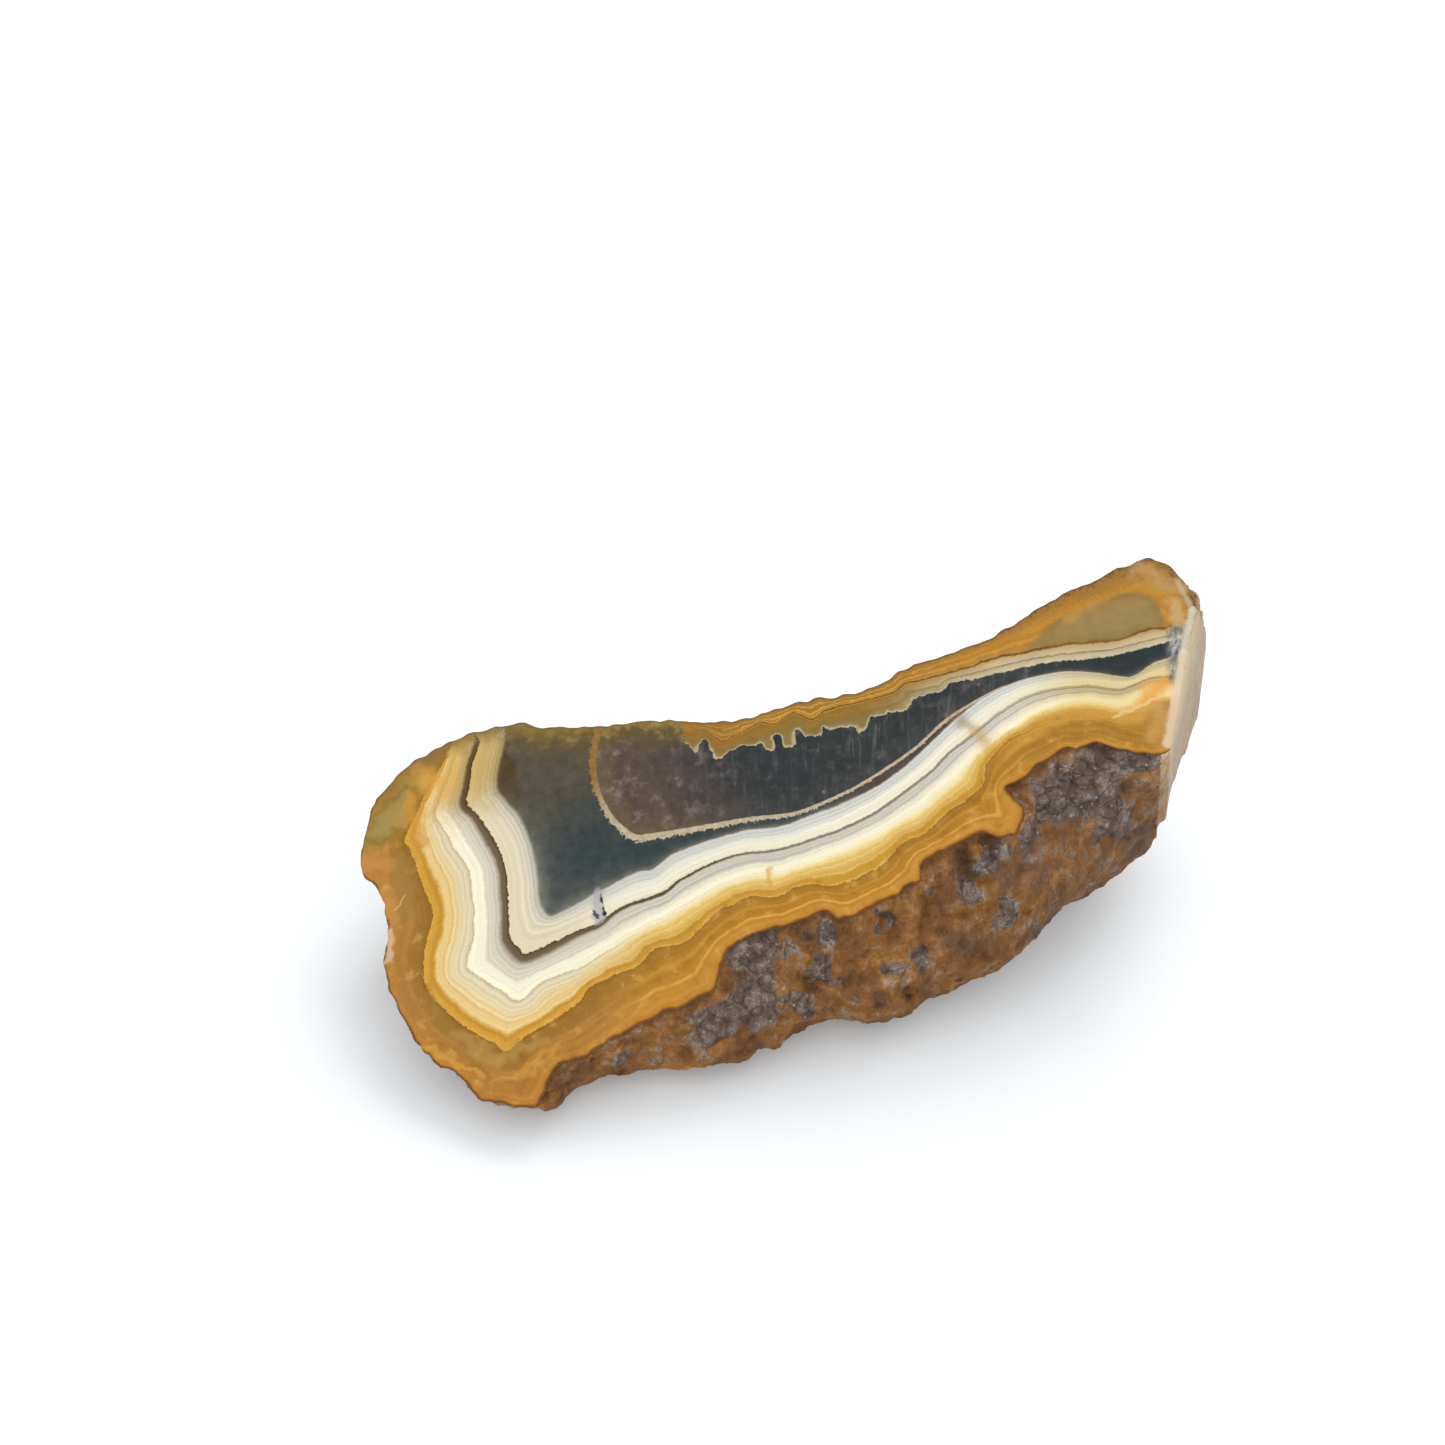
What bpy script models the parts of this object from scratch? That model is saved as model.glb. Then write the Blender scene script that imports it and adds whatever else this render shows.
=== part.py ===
"""Half of a sawn agate nodule, lying with its polished cut face up.

Metres, +Z up. The origin is the centre of the small flat spot that the stone rests on.
The stone is one solid: a flat cut face, a rough rind that bulges below it, a flat end
where the nodule broke along a smooth plane, and the resting spot.

Places on the stone are given in its cut face's own frame: u runs along the face to the
right, v across it, and w is the depth below it.
"""

import math
from bisect import bisect_right

import bmesh
import bpy
from mathutils import Matrix, Vector, noise
from mathutils.geometry import interpolate_bezier

MM = 0.001

# Where the cut face lies: it leans towards the viewer and a little to the left
FACE_TURN = math.radians(-20.0)
FACE_TILT = math.radians(24.2)
FACE_SPIN = math.radians(36.8)
FACE_POINT = Vector((-4.0, -4.5, 17.5))

# Outline of the cut face, side by side, in millimetres
LEFT_SIDE = (
    (-31.5, -17.6), (-34.0, -16.3), (-36.2, -14.7), (-37.1, -12.4), (-39.7, -9.0),
    (-40.8, -5.5), (-41.6, -1.0), (-41.3, 2.0), (-40.1, 5.0), (-40.1, 9.0),
    (-41.2, 11.8), (-40.3, 15.0), (-38.2, 18.6), (-35.2, 20.7), (-31.0, 22.1),
)
TOP_SIDE = (
    (-26.8, 22.4), (-22.5, 21.8), (-19.4, 20.1), (-15.0, 18.3), (-9.5, 16.8),
    (-6.6, 15.6), (-4.0, 14.2), (0.0, 13.1), (5.0, 12.9), (10.0, 11.9),
    (14.0, 11.6), (16.0, 12.3), (22.0, 12.2), (27.0, 12.5), (32.0, 13.8), (37.0, 14.3),
)
RIGHT_SIDE = (
    (42.9, 14.7), (45.1, 13.2), (45.9, 10.0), (45.3, 7.0), (41.5, 1.5), (38.0, -3.9),
)
FRONT_SIDE = (
    (36.4, -6.1), (33.8, -4.8), (31.0, -2.9), (27.0, -2.3), (23.5, -3.2),
    (21.2, -4.0), (21.6, -6.3), (19.9, -8.5), (16.5, -7.5), (12.5, -7.6),
    (10.5, -8.2), (9.5, -9.7), (4.5, -10.4), (2.5, -10.6), (-1.0, -9.4),
    (-8.0, -9.0), (-10.5, -10.3), (-12.5, -13.1), (-18.0, -13.2), (-23.5, -14.1),
    (-25.5, -14.7), (-28.0, -14.5), (-29.7, -16.0),
)

# Girth of the rind below the face: u, v and the depth w
LEFT_GIRTH = (
    (-30.8, -16.6, 2.0), (-35.0, -12.6, 4.0), (-38.0, -6.0, 5.5), (-39.4, 1.0, 7.0),
    (-39.0, 8.0, 8.5), (-38.2, 14.0, 9.0), (-34.5, 19.5, 9.5),
)
TOP_GIRTH = (
    (-27.0, 21.8, 10.0), (-18.0, 19.8, 11.0), (-9.0, 16.6, 12.0), (1.0, 13.2, 12.0),
    (11.0, 12.4, 12.0), (21.0, 13.2, 12.0), (32.0, 15.0, 12.0),
)
RIGHT_GIRTH = (
    (42.8, 16.4, 10.5), (47.2, 13.6, 10.5), (49.0, 8.5, 15.0), (43.0, 0.5, 14.0),
)
FRONT_GIRTH = (
    (36.2, -7.0, 13.6), (30.9, -8.9, 11.8), (24.9, -11.4, 11.6), (19.1, -15.4, 10.9),
    (13.9, -16.8, 11.0), (8.0, -17.0, 10.3), (3.4, -17.9, 9.4), (-1.2, -16.4, 8.6),
    (-3.9, -16.2, 8.0), (-9.6, -17.3, 7.0), (-14.8, -17.9, 5.6), (-20.0, -16.2, 5.1),
    (-26.0, -15.6, 3.4),
)

# The flat spot on the underside
SPOT_HALF_LENGTH = 13.0
SPOT_HALF_WIDTH = 9.0
SPOT_TURN = math.radians(14.0)

# The flat broken end: a plane beyond the right side that flares with depth
END_DIRECTION = Vector((0.843, -0.538, 0.0))
END_DISTANCE = 34.15
END_FLARE_FRONT = math.radians(2.0)
END_FLARE_BACK = math.radians(6.5)
END_FLARE_MIDDLE = 1.0
END_FLARE_RUN = 8.0

# A smaller chip at the back of the left end
CHIP_DIRECTION = Vector((-0.62, 0.78, 0.0))
CHIP_DISTANCE = 37.4
CHIP_FLARE = math.radians(-22.0)

# How the wall's two curves leave the edge, the girth and the spot, as shares of their run
EDGE_HANDLE = 0.3
EDGE_SINK = 0.1
GIRTH_HANDLE = 0.32
UNDER_HANDLE = 0.5
SPOT_HANDLE = 0.55

# How finely the solid is faceted: stations on the left, top, right and front, and rings
STATIONS = (31, 50, 18, 71)
RINGS_TO_GIRTH = 12
RINGS_TO_SPOT = 14

# Relief of the rind, in millimetres: broad swells, knobs and grain
SWELL_SIZE = 11.0
SWELL_HEIGHT = 0.9
KNOB_SIZE = 3.4
KNOB_REACH = 0.62
KNOB_HEIGHT = 0.9
PATCH_SIZE = 14.0
PATCH_SHARPNESS = 2.5
PATCH_SHIFT = Vector((7.3, 1.9, 4.4))
GRAIN_SIZE = 1.7
GRAIN_HEIGHT = 0.22
RIM_FADE = 1.6
SPOT_FADE = 5.0
LOWEST_RELIEF = 0.4

# The cut face's small notches, shorter than about 6 mm, die out below its edge
SPLINE_STEPS = 24
EASE_STEPS = 5
EASE_STEP = 1.15
NOTCH_DEPTH = 3.5

# Single knobs of the rind: centre u, v, w, radius and height
KNOBS = (
    (-22.5, -15.0, 2.3, 2.4, 0.5), (-15.4, -15.6, 2.6, 2.0, 0.6), (-12.6, -15.6, 2.8, 2.6, 0.9),
    (-8.8, -14.5, 2.9, 3.2, 1.3), (-6.8, -10.4, 1.6, 3.4, 1.2), (-4.2, -15.4, 5.5, 2.4, 0.7),
    (-1.2, -13.2, 4.2, 2.0, 0.6), (2.3, -17.2, 7.6, 3.2, 0.8), (11.6, -9.4, 1.4, 2.2, 0.9),
    (13.9, -11.2, 3.9, 2.0, 0.6), (17.2, -10.0, 2.4, 1.8, 0.7), (15.3, -15.5, 9.5, 2.8, 0.6),
    (16.8, -13.4, 7.0, 2.2, 0.6), (22.2, -5.6, 1.4, 2.0, 1.0), (25.6, -5.2, 2.8, 2.2, 0.9),
    (24.6, -8.6, 5.7, 2.2, 0.7), (29.4, -5.9, 4.0, 1.8, 0.8), (31.0, -4.4, 1.3, 1.8, 0.7),
    (30.9, -7.8, 7.9, 2.2, 0.8), (34.7, -5.9, 2.0, 1.6, 0.6),
)

# Single hollows: centre u, v, w, radius and depth
HOLLOWS = (
    (17.3, -7.9, 0.9, 1.5, 1.7), (5.6, -12.2, 2.2, 2.0, 1.3), (5.4, -17.1, 8.1, 1.2, 1.4),
    (27.6, -4.4, 2.2, 1.4, 1.2), (32.6, -6.2, 5.2, 1.5, 1.3), (9.6, 12.4, 5.4, 2.8, 1.6),
    (13.6, 12.2, 5.8, 3.2, 2.0), (18.0, 12.7, 6.4, 2.6, 1.4), (-4.5, 15.0, 7.0, 2.4, 1.0),
)

STONE_COLOUR = (0.52, 0.27, 0.07, 1.0)
STONE_ROUGHNESS = 0.45


def face_matrix():
    """Return the matrix from face coordinates (u, v, height above the face) to the stone's frame."""
    turn = Matrix.Rotation(FACE_TURN, 4, "Z")
    tilt = Matrix.Rotation(FACE_TILT, 4, "X")
    spin = Matrix.Rotation(FACE_SPIN, 4, "Z")
    return Matrix.Translation(FACE_POINT) @ turn @ tilt @ spin


def spline_point(before, start, end, after, t):
    """Return the Catmull-Rom point between start and end."""
    return 0.5 * (
        2.0 * start
        + (end - before) * t
        + (2.0 * before - 5.0 * start + 4.0 * end - after) * t * t
        + (3.0 * start - before - 3.0 * end + after) * t * t * t
    )


class ClosedCurve:
    """A smooth closed curve through the points of four sides, read by the length along it."""

    def __init__(self, sides):
        points = [Vector(point).to_3d() for side in sides for point in side]
        count = len(points)
        self.fine = []
        for index in range(count):
            quad = [points[(index + shift) % count] for shift in (-1, 0, 1, 2)]
            self.fine.extend(spline_point(*quad, step / SPLINE_STEPS) for step in range(SPLINE_STEPS))
        self.lengths = [0.0]
        for index, point in enumerate(self.fine):
            following = self.fine[(index + 1) % len(self.fine)]
            self.lengths.append(self.lengths[-1] + (following - point).length)
        self.corners = [0.0]
        first = 0
        for side in sides:
            first += len(side)
            self.corners.append(self.lengths[first * SPLINE_STEPS])

    def at(self, length):
        """Return the point at a length along the curve."""
        length %= self.lengths[-1]
        index = bisect_right(self.lengths, length) - 1
        share = (length - self.lengths[index]) / (self.lengths[index + 1] - self.lengths[index])
        return self.fine[index].lerp(self.fine[(index + 1) % len(self.fine)], share)

    def stations(self, counts):
        """Return the length at each station, evenly spaced along each side."""
        result = []
        for start, end, count in zip(self.corners, self.corners[1:], counts):
            result.extend(start + (end - start) * number / count for number in range(count))
        return result

    def eased(self, length):
        """Return the point at a length along the curve with its small notches evened out."""
        total = Vector((0.0, 0.0, 0.0))
        weights = 0.0
        for shift in range(-EASE_STEPS, EASE_STEPS + 1):
            weight = EASE_STEPS + 1 - abs(shift)
            total += self.at(length + shift * EASE_STEP) * weight
            weights += weight
        return total / weights


def spot_ring(targets):
    """Return the flat spot's outline, one point in the direction of each target point."""
    turn = Matrix.Rotation(SPOT_TURN, 2)
    ring = []
    for target in targets:
        flat = turn.inverted() @ target.xy
        angle = math.atan2(flat.y / SPOT_HALF_WIDTH, flat.x / SPOT_HALF_LENGTH)
        edge = Vector((SPOT_HALF_LENGTH * math.cos(angle), SPOT_HALF_WIDTH * math.sin(angle)))
        ring.append((turn @ edge).to_3d())
    return ring


def end_flare(v):
    """Return how far the broken end leans out, which grows from the front to the back."""
    share = min(1.0, max(0.0, 0.5 + (v - END_FLARE_MIDDLE) / END_FLARE_RUN))
    return END_FLARE_FRONT + (END_FLARE_BACK - END_FLARE_FRONT) * share


def clamp_to_plane(point, direction, distance, flare):
    """Return the point, moved back onto a plane that crosses the face and flares with depth."""
    limit = distance - point.z * math.tan(flare)
    beyond = point.x * direction.x + point.y * direction.y - limit
    if beyond > 0.0:
        return point - direction * beyond
    return point


def mound(place, u, v, w, radius, height):
    """Return how high a round mound about (u, v, w) stands at a place, zero beyond its radius."""
    away = (place - Vector((u, v, -w))).length / radius
    if away >= 1.0:
        return 0.0
    return height * (1.0 - away * away) ** 2


def rind_relief(place):
    """Return the rind's relief at a place in face coordinates, as a distance outwards."""
    swell = noise.noise(place / SWELL_SIZE)
    patch = noise.noise(place / PATCH_SIZE + PATCH_SHIFT)
    patch = min(1.0, max(0.0, 0.5 + PATCH_SHARPNESS * patch))
    nearest = noise.voronoi(place / KNOB_SIZE)[0][0]
    knob = max(0.0, 1.0 - (nearest / KNOB_REACH) ** 2)
    grain = noise.noise(place / GRAIN_SIZE)
    height = SWELL_HEIGHT * swell + KNOB_HEIGHT * patch * knob + GRAIN_HEIGHT * grain
    height += sum(mound(place, *knob_values) for knob_values in KNOBS)
    height -= sum(mound(place, *hollow_values) for hollow_values in HOLLOWS)
    return height


def wall_rings(to_stone):
    """Return the rings of the wall, from the cut face's edge down to the flat spot."""
    edge_curve = ClosedCurve((LEFT_SIDE, TOP_SIDE, RIGHT_SIDE, FRONT_SIDE))
    girth_curve = ClosedCurve((LEFT_GIRTH, TOP_GIRTH, RIGHT_GIRTH, FRONT_GIRTH))
    stations = edge_curve.stations(STATIONS)
    outline = [edge_curve.at(length) for length in stations]
    soft = [edge_curve.eased(length) for length in stations]
    girth = [girth_curve.at(length) for length in girth_curve.stations(STATIONS)]
    girth = [Vector((point.x, point.y, -point.z)) for point in girth]
    spot = spot_ring([to_stone @ point for point in girth])
    to_face = to_stone.inverted()
    up = Vector((0.0, 0.0, 1.0))
    sink = to_stone.to_3x3() @ Vector((0.0, 0.0, -EDGE_SINK))
    profiles = []
    for edge, eased, widest, foot in zip(outline, soft, girth, spot):
        notch = edge - eased
        start = to_stone @ eased
        middle = to_stone @ widest
        run = (middle - start).length
        outward = middle - foot
        outward.z = 0.0
        reach = outward.length
        outward.normalize()
        first_handle = start.lerp(middle, EDGE_HANDLE) + sink * run
        second_handle = middle + up * GIRTH_HANDLE * run
        upper = interpolate_bezier(start, first_handle, second_handle, middle, RINGS_TO_GIRTH + 1)
        third_handle = middle - up * UNDER_HANDLE * middle.z
        fourth_handle = foot + outward * SPOT_HANDLE * reach
        lower = interpolate_bezier(middle, third_handle, fourth_handle, foot, RINGS_TO_SPOT + 1)
        profile = [to_face @ point for point in upper[:-1] + lower]
        for index, point in enumerate(profile):
            share = max(0.0, 1.0 - (point - profile[0]).length / NOTCH_DEPTH)
            profile[index] = point + notch * share * share
        profiles.append(profile)
    rings = [list(ring) for ring in zip(*profiles)]
    return roughened(rings, to_stone)


def roughened(rings, to_stone):
    """Return the rings with the rind's relief and the two flat breaks, the first and last untouched."""
    to_face = to_stone.inverted()
    result = [rings[0]]
    for number in range(1, len(rings) - 1):
        ring = rings[number]
        count = len(ring)
        moved = []
        for index, point in enumerate(ring):
            along = ring[(index + 1) % count] - ring[index - 1]
            across = rings[number + 1][index] - rings[number - 1][index]
            normal = along.cross(across).normalized()
            rim = min(1.0, (point - rings[0][index]).length / RIM_FADE)
            foot = min(1.0, (point - rings[-1][index]).length / SPOT_FADE)
            place = point + normal * rind_relief(point) * rim * foot
            place = clamp_to_plane(place, END_DIRECTION, END_DISTANCE, end_flare(place.y))
            place = clamp_to_plane(place, CHIP_DIRECTION, CHIP_DISTANCE, CHIP_FLARE)
            place = to_stone @ place
            place.z = max(place.z, min(LOWEST_RELIEF, (to_stone @ point).z))
            moved.append(to_face @ place)
        result.append(moved)
    result.append(rings[-1])
    return result


def skin(rings):
    """Return a bmesh skinned through the rings and closed by a flat face at each end."""
    mesh = bmesh.new()
    loops = [[mesh.verts.new(point) for point in ring] for ring in rings]
    for upper, lower in zip(loops, loops[1:]):
        count = len(upper)
        for index in range(count):
            following = (index + 1) % count
            mesh.faces.new((upper[index], upper[following], lower[following], lower[index]))
    mesh.faces.new(loops[0])
    mesh.faces.new(loops[-1])
    bmesh.ops.recalc_face_normals(mesh, faces=mesh.faces)
    return mesh


def stone_material():
    """Return the stone's plain material."""
    material = bpy.data.materials.new("agate")
    material.use_nodes = True
    shader = material.node_tree.nodes["Principled BSDF"]
    shader.inputs["Base Color"].default_value = STONE_COLOUR
    shader.inputs["Roughness"].default_value = STONE_ROUGHNESS
    shader.inputs["Metallic"].default_value = 0.0
    return material


def nodule_half(collection):
    """Make the half nodule and link it to the collection."""
    to_stone = face_matrix()
    rings = [[to_stone @ point * MM for point in ring] for ring in wall_rings(to_stone)]
    mesh = skin(rings)
    data = bpy.data.meshes.new("nodule_half")
    mesh.to_mesh(data)
    mesh.free()
    data.materials.append(stone_material())
    stone = bpy.data.objects.new("nodule_half", data)
    collection.objects.link(stone)
    return stone


def main():
    """Clear the scene and build the stone."""
    for old in list(bpy.data.objects):
        bpy.data.objects.remove(old, do_unlink=True)
    collection = bpy.data.collections.new("agate_nodule")
    bpy.context.scene.collection.children.link(collection)
    nodule_half(collection)


main()
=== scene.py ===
"""Looks of one half of a sawn agate nodule.

The stone is one closed piece: a polished cut face with its bands, a rough knobbly rind and a
smooth broken end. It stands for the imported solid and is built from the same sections.
Places on the stone are in its cut face's own frame, in millimetres: u runs along the face to
the right, v across it, and w is the depth below it.
"""

import logging
import math
from bisect import bisect_right
from dataclasses import dataclass, field
from enum import Enum
from typing import Any, Sequence, TypeVar, Union

import bmesh
import bpy
import numpy as np
from mathutils import Matrix, Vector, noise
from mathutils.geometry import interpolate_bezier


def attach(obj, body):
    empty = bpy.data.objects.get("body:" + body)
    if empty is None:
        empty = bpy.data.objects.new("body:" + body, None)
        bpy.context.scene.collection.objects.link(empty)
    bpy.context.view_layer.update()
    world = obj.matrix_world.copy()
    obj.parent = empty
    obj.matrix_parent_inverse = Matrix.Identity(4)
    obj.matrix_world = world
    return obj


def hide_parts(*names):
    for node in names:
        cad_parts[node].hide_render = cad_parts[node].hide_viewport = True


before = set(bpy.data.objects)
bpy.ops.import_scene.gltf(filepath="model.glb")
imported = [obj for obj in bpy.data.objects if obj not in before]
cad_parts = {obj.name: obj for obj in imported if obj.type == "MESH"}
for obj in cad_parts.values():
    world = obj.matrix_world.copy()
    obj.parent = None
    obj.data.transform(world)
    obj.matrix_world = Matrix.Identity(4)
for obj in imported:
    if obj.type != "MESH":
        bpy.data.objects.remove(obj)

LOG = logging.getLogger("agate")
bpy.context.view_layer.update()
MM = 0.001
NOISE_SEED = 6
NOISE_SPREAD = 3.6       # brings a noise texture's 0 to 1 to about -1 to 1
OUTLINE_STEP = 6         # each sixth fine point of the outline is enough for the face's grid
ON_FACE = 1e-4           # how far from the cut plane a point of the face may lie, in millimetres
SMALL = 1e-4             # these three keep a divisor from being zero
LEAST_SQUARE = 1e-6
LEAST_RUN = 1e-12

Pair = tuple[float, float]
Colour = tuple[float, float, float, float]


def shade(red: int, green: int, blue: int) -> Colour:
    """Return a linear colour from display values of 0 to 255.

    Args:
        red: The red value.
        green: The green value.
        blue: The blue value.

    Returns:
        The colour as four linear numbers.
    """
    linear = []
    for value in (red, green, blue):
        share = value / 255.0
        linear.append(share / 12.92 if share <= 0.04045 else ((share + 0.055) / 1.055) ** 2.4)
    return (linear[0], linear[1], linear[2], 1.0)


@dataclass(frozen=True)
class CutPlane:
    """Where the cut face lies in the stone's frame."""

    turn: float = math.radians(-20.0)
    tilt: float = math.radians(24.2)
    spin: float = math.radians(36.8)
    point: tuple[float, float, float] = (-4.0, -4.5, 17.5)

    def matrix(self) -> Matrix:
        """Return the matrix from face coordinates, in millimetres, to the stone's frame.

        Returns:
            The matrix.
        """
        turn = Matrix.Rotation(self.turn, 4, "Z")
        tilt = Matrix.Rotation(self.tilt, 4, "X")
        spin = Matrix.Rotation(self.spin, 4, "Z")
        return Matrix.Translation(self.point) @ turn @ tilt @ spin


Point = TypeVar("Point", Vector, np.ndarray)


def spline_point(before: Point, start: Point, end: Point, after: Point, t: float) -> Point:
    """Return the Catmull-Rom point between start and end, or rows of such points.

    Args:
        before: The point before start.
        start: Where the stretch starts.
        end: Where the stretch ends.
        after: The point after end.
        t: The share of the stretch, from 0 to 1.

    Returns:
        The point, or the rows.
    """
    return 0.5 * (
        2.0 * start
        + (end - before) * t
        + (2.0 * before - 5.0 * start + 4.0 * end - after) * t * t
        + (3.0 * start - before - 3.0 * end + after) * t * t * t
    )


@dataclass
class ClosedCurve:
    """A smooth closed curve through the points of four sides, read by the length along it."""

    sides: Sequence[Sequence[tuple[float, ...]]]
    steps: int = 24
    ease_steps: int = 5
    ease_step: float = 1.15
    fine: list[Vector] = field(default_factory=list)
    lengths: list[float] = field(default_factory=lambda: [0.0])
    corners: list[float] = field(default_factory=lambda: [0.0])

    def __post_init__(self) -> None:
        """Work out the fine points and the length at each."""
        points = [Vector(point).to_3d() for side in self.sides for point in side]
        count = len(points)
        for index in range(count):
            quad = [points[(index + shift) % count] for shift in (-1, 0, 1, 2)]
            self.fine.extend(spline_point(*quad, step / self.steps) for step in range(self.steps))
        for index, point in enumerate(self.fine):
            following = self.fine[(index + 1) % len(self.fine)]
            self.lengths.append(self.lengths[-1] + (following - point).length)
        first = 0
        for side in self.sides:
            first += len(side)
            self.corners.append(self.lengths[first * self.steps])

    def at(self, length: float) -> Vector:
        """Return the point at a length along the curve.

        Args:
            length: The length, of any sign.

        Returns:
            The point.
        """
        length %= self.lengths[-1]
        index = bisect_right(self.lengths, length) - 1
        share = (length - self.lengths[index]) / (self.lengths[index + 1] - self.lengths[index])
        return self.fine[index].lerp(self.fine[(index + 1) % len(self.fine)], share)

    def eased(self, length: float) -> Vector:
        """Return the point at a length along the curve with its small notches evened out.

        Args:
            length: The length along the curve.

        Returns:
            The mean of the points near it.
        """
        total = Vector((0.0, 0.0, 0.0))
        weights = 0.0
        for shift in range(-self.ease_steps, self.ease_steps + 1):
            weight = self.ease_steps + 1 - abs(shift)
            total += self.at(length + shift * self.ease_step) * weight
            weights += weight
        return total / weights

    def matching(self, length: float, other: "ClosedCurve") -> Vector:
        """Return the other curve's point at the same share of the same side.

        Args:
            length: The length along this curve.
            other: A curve with the same four sides.

        Returns:
            The matching point of the other curve.
        """
        length %= self.lengths[-1]
        side = min(bisect_right(self.corners, length), len(self.corners) - 1) - 1
        share = (length - self.corners[side]) / (self.corners[side + 1] - self.corners[side])
        start, end = other.corners[side], other.corners[side + 1]
        return other.at(start + (end - start) * share)


LEFT_SIDE = (
    (-31.5, -17.6), (-34.0, -16.3), (-36.2, -14.7), (-37.1, -12.4), (-39.7, -9.0),
    (-40.8, -5.5), (-41.6, -1.0), (-41.3, 2.0), (-40.1, 5.0), (-40.1, 9.0),
    (-41.2, 11.8), (-40.3, 15.0), (-38.2, 18.6), (-35.2, 20.7), (-31.0, 22.1),
)
TOP_SIDE = (
    (-26.8, 22.4), (-22.5, 21.8), (-19.4, 20.1), (-15.0, 18.3), (-9.5, 16.8),
    (-6.6, 15.6), (-4.0, 14.2), (0.0, 13.1), (5.0, 12.9), (10.0, 11.9),
    (14.0, 11.6), (16.0, 12.3), (22.0, 12.2), (27.0, 12.5), (32.0, 13.8), (37.0, 14.3),
)
RIGHT_SIDE = (
    (42.9, 14.7), (45.1, 13.2), (45.9, 10.0), (45.3, 7.0), (41.5, 1.5), (38.0, -3.9),
)
FRONT_SIDE = (
    (36.4, -6.1), (33.8, -4.8), (31.0, -2.9), (27.0, -2.3), (23.5, -3.2),
    (21.2, -4.0), (21.6, -6.3), (19.9, -8.5), (16.5, -7.5), (12.5, -7.6),
    (10.5, -8.2), (9.5, -9.7), (4.5, -10.4), (2.5, -10.6), (-1.0, -9.4),
    (-8.0, -9.0), (-10.5, -10.3), (-12.5, -13.1), (-18.0, -13.2), (-23.5, -14.1),
    (-25.5, -14.7), (-28.0, -14.5), (-29.7, -16.0),
)
LEFT_GIRTH = (
    (-30.8, -16.6, 2.0), (-35.0, -12.6, 4.0), (-38.0, -6.0, 5.5), (-39.4, 1.0, 7.0),
    (-39.0, 8.0, 8.5), (-38.2, 14.0, 9.0), (-34.5, 19.5, 9.5),
)
TOP_GIRTH = (
    (-27.0, 21.8, 10.0), (-18.0, 19.8, 11.0), (-9.0, 16.6, 12.0), (1.0, 13.2, 12.0),
    (11.0, 12.4, 12.0), (21.0, 13.2, 12.0), (32.0, 15.0, 12.0),
)
RIGHT_GIRTH = (
    (42.8, 16.4, 10.5), (47.2, 13.6, 10.5), (49.0, 8.5, 15.0), (43.0, 0.5, 14.0),
)
FRONT_GIRTH = (
    (36.2, -7.0, 13.6), (30.9, -8.9, 11.8), (24.9, -11.4, 11.6), (19.1, -15.4, 10.9),
    (13.9, -16.8, 11.0), (8.0, -17.0, 10.3), (3.4, -17.9, 9.4), (-1.2, -16.4, 8.6),
    (-3.9, -16.2, 8.0), (-9.6, -17.3, 7.0), (-14.8, -17.9, 5.6), (-20.0, -16.2, 5.1),
    (-26.0, -15.6, 3.4),
)


@dataclass(frozen=True)
class Mound:
    """A round knob or hollow of the rind: its centre, radius and height."""

    u: float
    v: float
    w: float
    radius: float
    height: float

    def at(self, place: Vector) -> float:
        """Return how high the mound stands at a place, zero beyond its radius.

        Args:
            place: The place.

        Returns:
            The height.
        """
        away = (place - Vector((self.u, self.v, -self.w))).length / self.radius
        if away >= 1.0:
            return 0.0
        return self.height * (1.0 - away * away) ** 2


KNOBS = tuple(Mound(*values) for values in (
    (-22.5, -15.0, 2.3, 2.4, 0.5), (-15.4, -15.6, 2.6, 2.0, 0.6), (-12.6, -15.6, 2.8, 2.6, 0.9),
    (-8.8, -14.5, 2.9, 3.2, 1.3), (-6.8, -10.4, 1.6, 3.4, 1.2), (-4.2, -15.4, 5.5, 2.4, 0.7),
    (-1.2, -13.2, 4.2, 2.0, 0.6), (2.3, -17.2, 7.6, 3.2, 0.8), (11.6, -9.4, 1.4, 2.2, 0.9),
    (13.9, -11.2, 3.9, 2.0, 0.6), (17.2, -10.0, 2.4, 1.8, 0.7), (15.3, -15.5, 9.5, 2.8, 0.6),
    (16.8, -13.4, 7.0, 2.2, 0.6), (22.2, -5.6, 1.4, 2.0, 1.0), (25.6, -5.2, 2.8, 2.2, 0.9),
    (24.6, -8.6, 5.7, 2.2, 0.7), (29.4, -5.9, 4.0, 1.8, 0.8), (31.0, -4.4, 1.3, 1.8, 0.7),
    (30.9, -7.8, 7.9, 2.2, 0.8), (34.7, -5.9, 2.0, 1.6, 0.6),
))
HOLLOWS = tuple(Mound(*values) for values in (
    (17.3, -7.9, 0.9, 1.5, 1.7), (5.6, -12.2, 2.2, 2.0, 1.3), (5.4, -17.1, 8.1, 1.2, 1.4),
    (27.6, -4.4, 2.2, 1.4, 1.2), (32.6, -6.2, 5.2, 1.5, 1.3), (9.6, 12.4, 5.4, 2.8, 1.6),
    (13.6, 12.2, 5.8, 3.2, 2.0), (18.0, 12.7, 6.4, 2.6, 1.4), (-4.5, 15.0, 7.0, 2.4, 1.0),
))


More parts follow.
